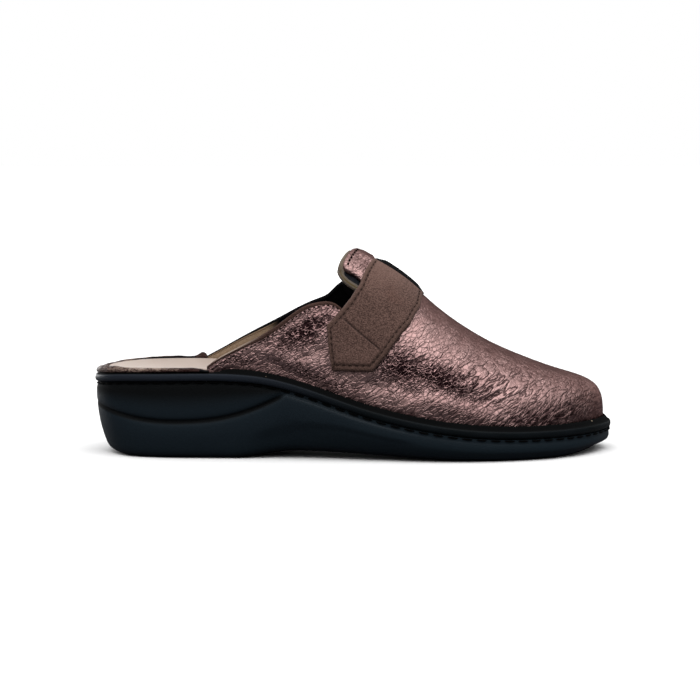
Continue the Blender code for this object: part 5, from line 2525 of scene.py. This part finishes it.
@dataclass
class Upper:
    """Leather wall over toe and instep, with both quarters and the tongue's face."""

    maker: SheetMaker
    pattern: UpperPattern
    relief: Relief
    finishes: Finishes
    wall: float = 2.4
    spacing: float = 1.05
    edge_round: float = 0.7
    tuck: float = 0.6
    row_offset: float = 1.55
    tongue_row_offset: float = 2.0
    tongue_row_half: float = 26.8
    tongue_row_end: float = 1.0
    tongue_press: Triple = (0.5, 0.25, 12.0)
    row_spacing: float = 0.8
    slit_gap: float = 1.0
    rear_overlap: float = 0.3
    lip: float = 1.1
    lip_along: Quad = (-1.5, 5.0, 8.6, 10.4)
    lip_across: Quad = (-18.0, -11.0, 18.0, 32.0)
    foot_shadow: float = 0.9
    foot_shade: Pair = (-0.5, 3.6)
    fore_shade: float = 0.7
    fore_range: Pair = (10.0, 50.0)
    toe_loss: Triple = (0.7, 104.0, 120.0)
    ball_gain: Triple = (0.3, 66.0, 86.0)
    low_range: Pair = (3.0, 17.0)
    collar_row: StitchRow = StitchRow(1.5, 2.4, 0.28, -0.05)
    tongue_row: StitchRow = StitchRow(1.2, 2.8, 0.55, -0.1)

    def outline(self) -> Array:
        """Give the flat outline.

        Returns:
            Flat points, the interior on their left.
        """
        form, width = self.pattern.form, self.tuck
        lateral = self.pattern.collar(Side.LATERAL, self.spacing)
        bound = self.pattern.below_collar(Side.LATERAL, width, self.spacing)
        slit = lateral[lateral[:, 0] > self.pattern.binding_end.lateral + self.slit_gap]
        bound_medial = self.pattern.below_collar(Side.MEDIAL, width, self.spacing)
        tongue = self.pattern.tongue_edge(self.spacing)
        foot, end = form.foot_edge, form.station_end
        rear_lateral = (bound[0, 0] - self.rear_overlap, -foot)
        rear_medial = (bound_medial[0, 0] - self.rear_overlap, foot)
        return np.vstack((
            straight(rear_lateral, (end, -foot), self.spacing),
            straight((end, -foot), (end, 0.0), self.spacing),
            straight((end, 0.0), (end, foot), self.spacing),
            straight((end, foot), rear_medial, self.spacing),
            straight(rear_medial, bound_medial[0], self.spacing),
            bound_medial,
            tongue[::-1],
            slit[::-1],
            bound[::-1],
            straight(bound[0], rear_lateral, self.spacing)[1:],
        ))

    def over(self, flat: Array, base: Array) -> Array:
        """Work out the outer face: folds, and a soft edge and a lip at the tongue.

        Args:
            flat: Flat pattern points.
            base: The same points on the form.

        Returns:
            Distances from the form, positive outward.
        """
        edge = distance_to(self.pattern.tongue_edge(self.spacing), flat)
        drop = edge_drop(self.edge_round, edge)
        width, depth, end = self.tongue_press
        row = bump_at(self.tongue_row_offset, width, edge) * (flat[:, 0] < end)
        girth = flat[:, 1] / self.pattern.form.girth_scale
        lip = window(*self.lip_along, flat[:, 0]) * window(*self.lip_across, girth)
        return self.relief.height(flat, base) - drop - depth * row + self.lip * lip

    def low_shade(self, x: Array, above: Array) -> Array:
        """Find the painted shade low on the forefoot.

        Args:
            x: Places along the shoe.
            above: Heights over the welt.

        Returns:
            Shares from 0 to 1.
        """
        loss, *toe = self.toe_loss
        gain, *ball = self.ball_gain
        fore = smooth_step(*self.fore_range, x) * (1.0 - loss * smooth_step(*toe, x))
        fore = fore * (1.0 + gain * smooth_step(*ball, x))
        return self.fore_shade * (1.0 - smooth_step(*self.low_range, above)) * fore

    def build(self) -> None:
        """Build the leather and its stitch rows."""
        sheet = self.maker.lay(
            self.outline(), self.spacing,
            lambda flat, base: np.full(len(flat), -self.wall), self.over,
            rim_rows=3, toe=True,
        )
        marks = [Face.INNER.value if mark == Face.INNER.value else 0 for mark in sheet.marks]
        relief, levels, base = self.relief, self.pattern.form.levels, sheet.base
        above = base[:, 2] - levels.welt_top(base[:, 0]) - levels.shoulder(base[:, 0])
        # Painted shade: a shadow where the leather meets the welt, and darker leather low on the
        # forefoot in place of its dimmer reflection.
        values = {
            "crumple": relief.strength(relief.crumpled_zones, base),
            "wrinkle": relief.strength(relief.wrinkled_zones, base),
            "shade": np.maximum(
                self.foot_shadow * (1.0 - smooth_step(*self.foot_shade, above)),
                self.low_shade(base[:, 0], above),
            ),
        }
        piece = make_piece(
            "leather_upper", sheet.points, sheet.faces,
            (self.finishes.leather, self.finishes.lining), marks,
            {name: sheet.spread(numbers) for name, numbers in values.items()},
        )
        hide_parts("upper")
        for side in Side:
            line = self.pattern.below_collar(side, self.row_offset, self.row_spacing)
            self.sew("collar_stitches_" + side.value, line, self.collar_row)
        edge = self.pattern.tongue_edge(self.row_spacing)
        near = np.abs(edge[:, 1]) < self.tongue_row_half
        edge = edge[(edge[:, 0] < self.tongue_row_end) & near]
        self.sew("tongue_stitches", beside(edge, -self.tongue_row_offset), self.tongue_row)

    def sew(self, name: str, flat: Array, row: StitchRow) -> None:
        """Lay a stitch row along a flat line.

        Args:
            name: Name of the piece.
            flat: Flat pattern points of the row.
            row: Sizes of the stitches.
        """
        form = self.pattern.form
        piece = row.build(name, form.point(flat), form.normal(flat), self.finishes.brown_thread)


@dataclass
class CollarBinding:
    """Folded edge along one quarter: brown outside, black on the fold, lined inside."""

    side: Side
    pattern: UpperPattern
    finishes: Finishes
    spacing: float = 0.9
    section: tuple[Pair, ...] = (
        (1.35, -0.2), (1.25, 0.18), (0.75, 0.30), (0.3, 0.1), (0.0, -0.6), (0.0, -1.8),
        (0.3, -2.55), (0.7, -2.75), (1.1, -2.65), (1.2, -2.2), (0.9, -1.2),
    )
    brown_depth: PerSide = PerSide(-2.0, -0.3)
    fold_width: float = 0.6
    lined_below: float = -2.0
    fold_edge: float = 0.5
    narrow: Triple = (-66.0, -42.0, 0.5)

    def width_at(self, x: Array) -> Array:
        """Share of the full width along the collar."""
        start, end, least = self.narrow
        return least + (1.0 - least) * smooth_step(start, end, x)

    def build(self) -> None:
        """Build the binding."""
        form = self.pattern.form
        edge = self.pattern.collar(self.side, self.spacing)
        edge = edge[edge[:, 0] < self.pattern.binding_reach.at(self.side)]
        away = beside(edge, 1.0 if self.side is Side.MEDIAL else -1.0) - edge
        width = self.width_at(edge[:, 0])[:, None]
        section = round_off(np.array(self.section), 2, closed=True)
        skin = Skin()
        loops = []
        for across, depth in section:
            flat = edge + away * width * across
            loops.append(skin.add(form.point(flat) + form.normal(flat) * depth))
        flip = self.side is Side.MEDIAL
        for number, (low, high) in enumerate(zip(loops, loops[1:] + loops[:1])):
            across, depth = section[number]
            inside = 2 if across > self.fold_width and depth < self.lined_below else 1
            mark = 0 if depth > self.brown_depth.at(self.side) else inside
            pair = (high, low) if flip else (low, high)
            skin.bridge(*pair, closed=False, mark=mark)
        start = [loop[0] for loop in loops]
        end = [loop[-1] for loop in loops]
        skin.face(start if not flip else start[::-1], 1)
        skin.face(end[::-1] if not flip else end, 1)
        piece = make_piece(
            "collar_edge_" + self.side.value, np.array(skin.points), skin.faces,
            (self.finishes.binding, self.finishes.binding_lining, self.finishes.lining),
            skin.marks, {"fold": np.repeat(section[:, 0] < self.fold_edge, len(edge))},
        )
        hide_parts("collar_binding_" + self.side.value)


@dataclass
class Tongue:
    """Padded flap under the leather of the throat."""

    maker: SheetMaker
    pattern: UpperPattern
    finishes: Finishes
    wall: float = 2.4
    pad: float = 2.8
    spacing: float = 1.3
    crown: float = 0.5
    rim_rise: float = 2.2
    rim_start: Pair = (0.2, 0.9)
    under_rise: float = 0.7
    soft_edge: float = 1.2
    fill: float = 0.5
    band_width: float = 2.5
    rim_rows: int = 6
    rim_bulge: float = 0.3
    rim_share: float = 0.25
    dark_beyond: float = 12.0
    insets: tuple[float, ...] = (0.45, 0.9, 1.35, 1.8, 2.25, 2.7)

    def build(self) -> None:
        """Build the pad."""
        form = self.pattern.form
        corners = form.over_instep(self.pattern.tongue_outline)
        outline = curve_through(shut(corners), self.spacing)[:-1][::-1]
        closed = shut(outline)
        top = -self.wall - form.levels.gap

        def face(flat: Array, level: float, rise: float, crown: float) -> Array:
            """Work out one face: a standing rim behind the leather, soft at its edge.

            Args:
                flat: Flat pattern points.
                level: Height of the face under the leather.
                rise: Rise of the standing rim.
                crown: Fall at the outer edge.

            Returns:
                Distances from the form.
            """
            edge = distance_to(closed, flat)
            stand = smooth_step(*self.rim_start, self.pattern.past_tongue(flat))
            return level + rise * stand - crown * (1.0 - smooth_step(0.0, self.soft_edge, edge))

        def over(flat: Array, base: Array) -> Array:
            """Height of the upper face."""
            return face(flat, top, self.rim_rise, self.crown)

        def under(flat: Array, base: Array) -> Array:
            """Height of the lower face."""
            return face(flat, top - self.pad, self.under_rise * self.rim_rise, -self.crown)

        sheet = self.maker.lay(
            outline, self.spacing, under, over, self.rim_rows, self.rim_bulge, self.insets
        )
        across = distance_to(closed, sheet.flat) / self.band_width
        band = self.rim_share * sheet.layer
        band[:sheet.count] = self.rim_share + (1.0 - self.rim_share) * across
        band[sheet.count:2 * sheet.count] = -across
        far = sheet.points[[face[0] for face in sheet.faces], 1] > self.dark_beyond
        marks = np.array(sheet.marks)
        marks = (marks == Face.INNER.value) | ((marks == Face.RIM.value) & far)
        piece = make_piece(
            "tongue_pad", sheet.points, sheet.faces,
            (self.finishes.pad, self.finishes.binding_lining),
            marks, {"band": band},
        )
        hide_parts("tongue")


@dataclass
class Strap:
    """Suede strap across the slit, with a rolled sewn border and a tab."""

    maker: SheetMaker
    pattern: UpperPattern
    finishes: Finishes
    thickness: float = 2.2
    tab_step: float = 0.6
    spacing: float = 1.0
    edge_round: float = 1.0
    row_inset: float = 1.75
    row_width: float = 0.36
    row_depth: float = 0.4
    row_shade: float = 0.35
    border_ease: float = 0.8
    field_drop: float = 0.15
    step_range: Pair = (-0.25, 0.35)
    step_inset: Pair = (1.2, 2.2)
    fold_place: Pair = (-0.45, 0.4)
    fold_depth: float = 0.3
    fold_shade: float = 0.8
    row_spacing: float = 0.8
    thread_lift: float = 0.12
    insets: tuple[float, ...] = (0.15, 0.4, 0.75, 1.1, 1.45, 1.75, 2.05, 2.5)
    rim_rows: int = 3
    rim_bulge: float = 0.15
    seam_run_on: float = 5.0
    seam_spacing: float = 0.7
    seam_offsets: tuple[float, ...] = (-1.2, -0.8, -0.5, -0.25, 0.0, 0.25, 0.5, 0.9)
    stitches: StitchRow = StitchRow(1.8, 3.1, 0.30, 0.0)

    def seam_frame(self) -> tuple[Array, Array, Array]:
        """Find where the cross seam lies.

        Returns:
            Its two ends, the direction along it and the direction towards the tab.
        """
        ends = self.pattern.form.seen_from_side(self.pattern.strap_seam, Side.LATERAL)
        along = (ends[1] - ends[0]) / np.linalg.norm(ends[1] - ends[0])
        return ends, along, np.array((along[1], -along[0]))

    def seam_points(self) -> Array:
        """Give rows of flat points along the cross seam.

        Returns:
            Flat points of all rows.
        """
        ends, along, down = self.seam_frame()
        longer = (ends[0] - self.seam_run_on * along, ends[1] + self.seam_run_on * along)
        line = straight(*longer, self.seam_spacing)
        return np.vstack([line + down * offset for offset in self.seam_offsets])

    def profile(self, flat: Array) -> tuple[Array, Array, Array]:
        """Work out the strap's face.

        Args:
            flat: Flat pattern points.

        Returns:
            Height over the form, share of border and share of painted seam shade.
        """
        form = self.pattern.form
        corners = self.pattern.strap_corners()
        border = distance_to(self.pattern.strap_border(), flat)
        edge = distance_to(shut(corners), flat)
        drop = edge_drop(self.edge_round, edge)
        trough = bump_at(self.row_inset, self.row_width, border)
        inside = smooth_step(self.row_inset, self.row_inset + self.border_ease, border)
        ends, _, down = self.seam_frame()
        below = (flat - ends[0]) @ down
        step = smooth_step(*self.step_range, below) * smooth_step(*self.step_inset, border)
        fold = bump_at(*self.fold_place, below) * inside
        height = form.levels.gap + self.thickness + self.tab_step * step
        height = height - drop - self.row_depth * trough - self.field_drop * inside
        height = height - self.fold_depth * fold
        # Painted shade in the stitch trough and in the fold at the cross seam.
        seam = np.clip(self.row_shade * trough + self.fold_shade * fold, 0.0, 1.0)
        return height, 1.0 - inside, seam

    def build(self) -> None:
        """Build the strap and its stitches."""
        form = self.pattern.form
        sheet = self.maker.lay(
            polygon(self.pattern.strap_corners(), self.spacing), self.spacing,
            lambda flat, base: np.full(len(flat), form.levels.gap),
            lambda flat, base: self.profile(flat)[0],
            self.rim_rows, self.rim_bulge, self.insets, self.seam_points(),
        )
        _, border, seam = self.profile(sheet.flat)
        piece = make_piece(
            "suede_strap", sheet.points, sheet.faces, (self.finishes.suede,), None,
            {"border": sheet.spread(border), "seam": sheet.spread(seam)},
        )
        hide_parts("strap")
        corners = self.pattern.strap_border()
        pairs = zip(corners, corners[1:])
        sides = (straight(start, end, self.row_spacing) for start, end in pairs)
        line = np.vstack([*sides, corners[-1:]])
        flat = beside(line, self.row_inset)
        normal = form.normal(flat)
        height = self.profile(flat)[0] + self.thread_lift
        row = self.stitches.build(
            "strap_stitches", form.point(flat) + normal * height[:, None], normal,
            self.finishes.strap_thread,
        )


@dataclass
class StrapElastic:
    """Black band from the strap's end over the ridge to the inner side."""

    maker: SheetMaker
    pattern: UpperPattern
    finishes: Finishes
    thickness: float = 1.8
    spacing: float = 1.3
    edge_round: float = 0.7
    edge_least: float = 0.15
    taper: float = 5.0
    least: float = 0.5
    insets: Pair = (0.3, 0.7)

    def build(self) -> None:
        """Build the band."""
        form = self.pattern.form
        corners = form.over_instep(self.pattern.elastic)
        closed = shut(corners)

        def over(flat: Array, base: Array) -> Array:
            """Work out the outer face, thinner towards its rounded sides.

            Args:
                flat: Flat pattern points.
                base: The same points on the form; not used.

            Returns:
                Distances from the form.
            """
            drop = edge_drop(self.edge_round, distance_to(closed, flat))
            front = distance_to(corners[2:7], flat)
            back = distance_to(np.vstack((corners[8:], corners[:1])), flat)
            thin = smooth_step(0.0, self.taper, np.minimum(front, back))
            thick = self.least + (self.thickness - self.least) * thin
            return form.levels.gap + np.maximum(thick - drop, self.edge_least)

        sheet = self.maker.lay(
            polygon(corners, self.spacing), self.spacing,
            lambda flat, base: np.full(len(flat), form.levels.gap), over,
            rim_rows=2, insets=self.insets,
        )
        piece = make_piece(
            "elastic_band", sheet.points, sheet.faces, (self.finishes.elastic,)
        )
        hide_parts("strap_elastic")


@dataclass(frozen=True)
class SoftLight:
    """One soft studio lamp; a sky lamp's size is its spread in degrees."""

    name: str
    kind: LampKind
    place: Triple
    aim: Triple
    size: Pair
    power: float

    def build(self) -> None:
        """Hang the lamp and turn it to its aim."""
        lamp = bpy.data.lights.new(self.name, self.kind.value)
        if self.kind is LampKind.SKY:
            lamp.angle = math.radians(self.size[0])
        else:
            lamp.shape = "RECTANGLE"
            lamp.size, lamp.size_y = self.size
        lamp.energy = self.power
        item = bpy.data.objects.new(self.name, lamp)
        item.location = self.place
        toward = Vector(self.aim) - Vector(self.place)
        item.rotation_euler = toward.to_track_quat("-Z", "Y").to_euler()
        bpy.context.scene.collection.objects.link(item)


@dataclass
class Studio:
    """Pale floor, soft light and the camera."""

    aim: Triple = (-0.0023, 0.0, 0.0502)
    distance: float = 1.1
    elevation: float = 5.0
    field_width: float = 0.3478
    floor_half: float = 30.0
    floor_tone: Colour = (0.96, 0.96, 0.96)
    floor_bounce: Colour = (0.13, 0.13, 0.14)
    floor_rough: float = 0.9
    tent_edge: Pair = (0.22, 0.74)
    tent_depth: Pair = (-0.2, 0.9)
    tent_low: float = 0.06
    tent_light: float = 1.4
    tent_back: float = 0.5
    lights: tuple[SoftLight, ...] = (
        SoftLight(
            "overhead", LampKind.SKY, (0.2, -0.75, 2.0), (0.0, 0.0, 0.0), (60.0, 0.0), 1.1
        ),
        SoftLight(
            "front", LampKind.PANEL, (-0.3, -1.9, 0.9), (0.0, 0.0, 0.05), (1.6, 1.0), 1.3
        ),
        SoftLight(
            "heel", LampKind.PANEL, (-1.0, 1.9, 0.25), (-0.12, 0.0, 0.03), (1.6, 0.5), 26.0
        ),
        SoftLight(
            "toe", LampKind.PANEL, (1.2, 1.6, 0.4), (0.12, 0.0, 0.03), (1.2, 0.6), 1.7
        ),
    )

    def build(self) -> None:
        """Set up everything but the object."""
        self.build_camera()
        self.build_floor()
        self.build_world()
        for light in self.lights:
            light.build()
        bpy.context.scene.view_settings.view_transform = "Standard"

    def build_camera(self) -> None:
        """Place the camera at the photograph's angle."""
        lens = bpy.data.cameras.new("camera")
        lens.sensor_fit = "HORIZONTAL"
        lens.angle = 2.0 * math.atan(self.field_width / 2.0 / self.distance)
        camera = bpy.data.objects.new("camera", lens)
        rise = math.radians(self.elevation)
        away = Vector((0.0, -math.cos(rise), math.sin(rise))) * self.distance
        camera.location = Vector(self.aim) + away
        camera.rotation_euler = (math.pi / 2.0 - rise, 0.0, 0.0)
        bpy.context.scene.collection.objects.link(camera)
        bpy.context.scene.camera = camera

    def build_floor(self) -> None:
        """Lay the pale floor."""
        half = self.floor_half
        mesh = bpy.data.meshes.new("studio_floor")
        corners = [(-half, -half, 0.0), (half, -half, 0.0), (half, half, 0.0), (-half, half, 0.0)]
        mesh.from_pydata(corners, [], [(0, 1, 2, 3)])
        material, sketch, shader = start_finish("studio_paper")
        seen = sketch.add("ShaderNodeLightPath").outputs["Is Camera Ray"]
        tone = sketch.blend(seen, self.floor_bounce, self.floor_tone)
        sketch.feed(shader.inputs["Base Color"], tone)
        shader.inputs["Roughness"].default_value = self.floor_rough
        shader.inputs["Specular IOR Level"].default_value = 0.0
        mesh.materials.append(material)
        floor = bpy.data.objects.new("studio_floor", mesh)
        bpy.context.scene.collection.objects.link(floor)

    def build_world(self) -> None:
        """Light the room like a tent: bright above, dimmer behind, white to the camera."""
        world = bpy.data.worlds.new("studio")
        world.use_nodes = True
        sketch = NodeSketch(world.node_tree)
        background = world.node_tree.nodes["Background"]
        background.inputs["Color"].default_value = (1.0, 1.0, 1.0, 1.0)
        way = sketch.add("ShaderNodeSeparateXYZ")
        sketch.feed(way.inputs["Vector"], sketch.add("ShaderNodeTexCoord").outputs["Generated"])
        tent = sketch.span(way.outputs["Z"], *self.tent_edge, self.tent_low, self.tent_light)
        behind = sketch.span(way.outputs["Y"], *self.tent_depth, 1.0, self.tent_back)
        tent = sketch.math("MULTIPLY", tent, behind)
        seen = sketch.add("ShaderNodeLightPath").outputs["Is Camera Ray"]
        strength = sketch.math("MULTIPLY_ADD", sketch.math("SUBTRACT", 1.0, tent), seen, tent)
        sketch.feed(background.inputs["Strength"], strength)
        bpy.context.scene.world = world


def main() -> None:
    """Build the studio and every piece, in order."""
    logging.basicConfig(level=logging.INFO, format="%(name)s %(message)s")
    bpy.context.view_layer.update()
    Studio().build()
    finishes = Finishes.make()
    outline = SoleOutline()
    levels = SoleLevels()
    form = FootForm(outline, levels)
    pattern = UpperPattern(form)
    maker = SheetMaker(form)
    Outsole(outline, levels, finishes).build()
    Welt(outline, levels, finishes).build()
    Footbed(outline, levels, finishes).build()
    HeelBead(outline, levels, finishes).build()
    Upper(maker, pattern, Relief(pattern), finishes).build()
    for side in Side:
        CollarBinding(side, pattern, finishes).build()
    Tongue(maker, pattern, finishes).build()
    Strap(maker, pattern, finishes).build()
    StrapElastic(maker, pattern, finishes).build()


if __name__ == "__main__":
    main()
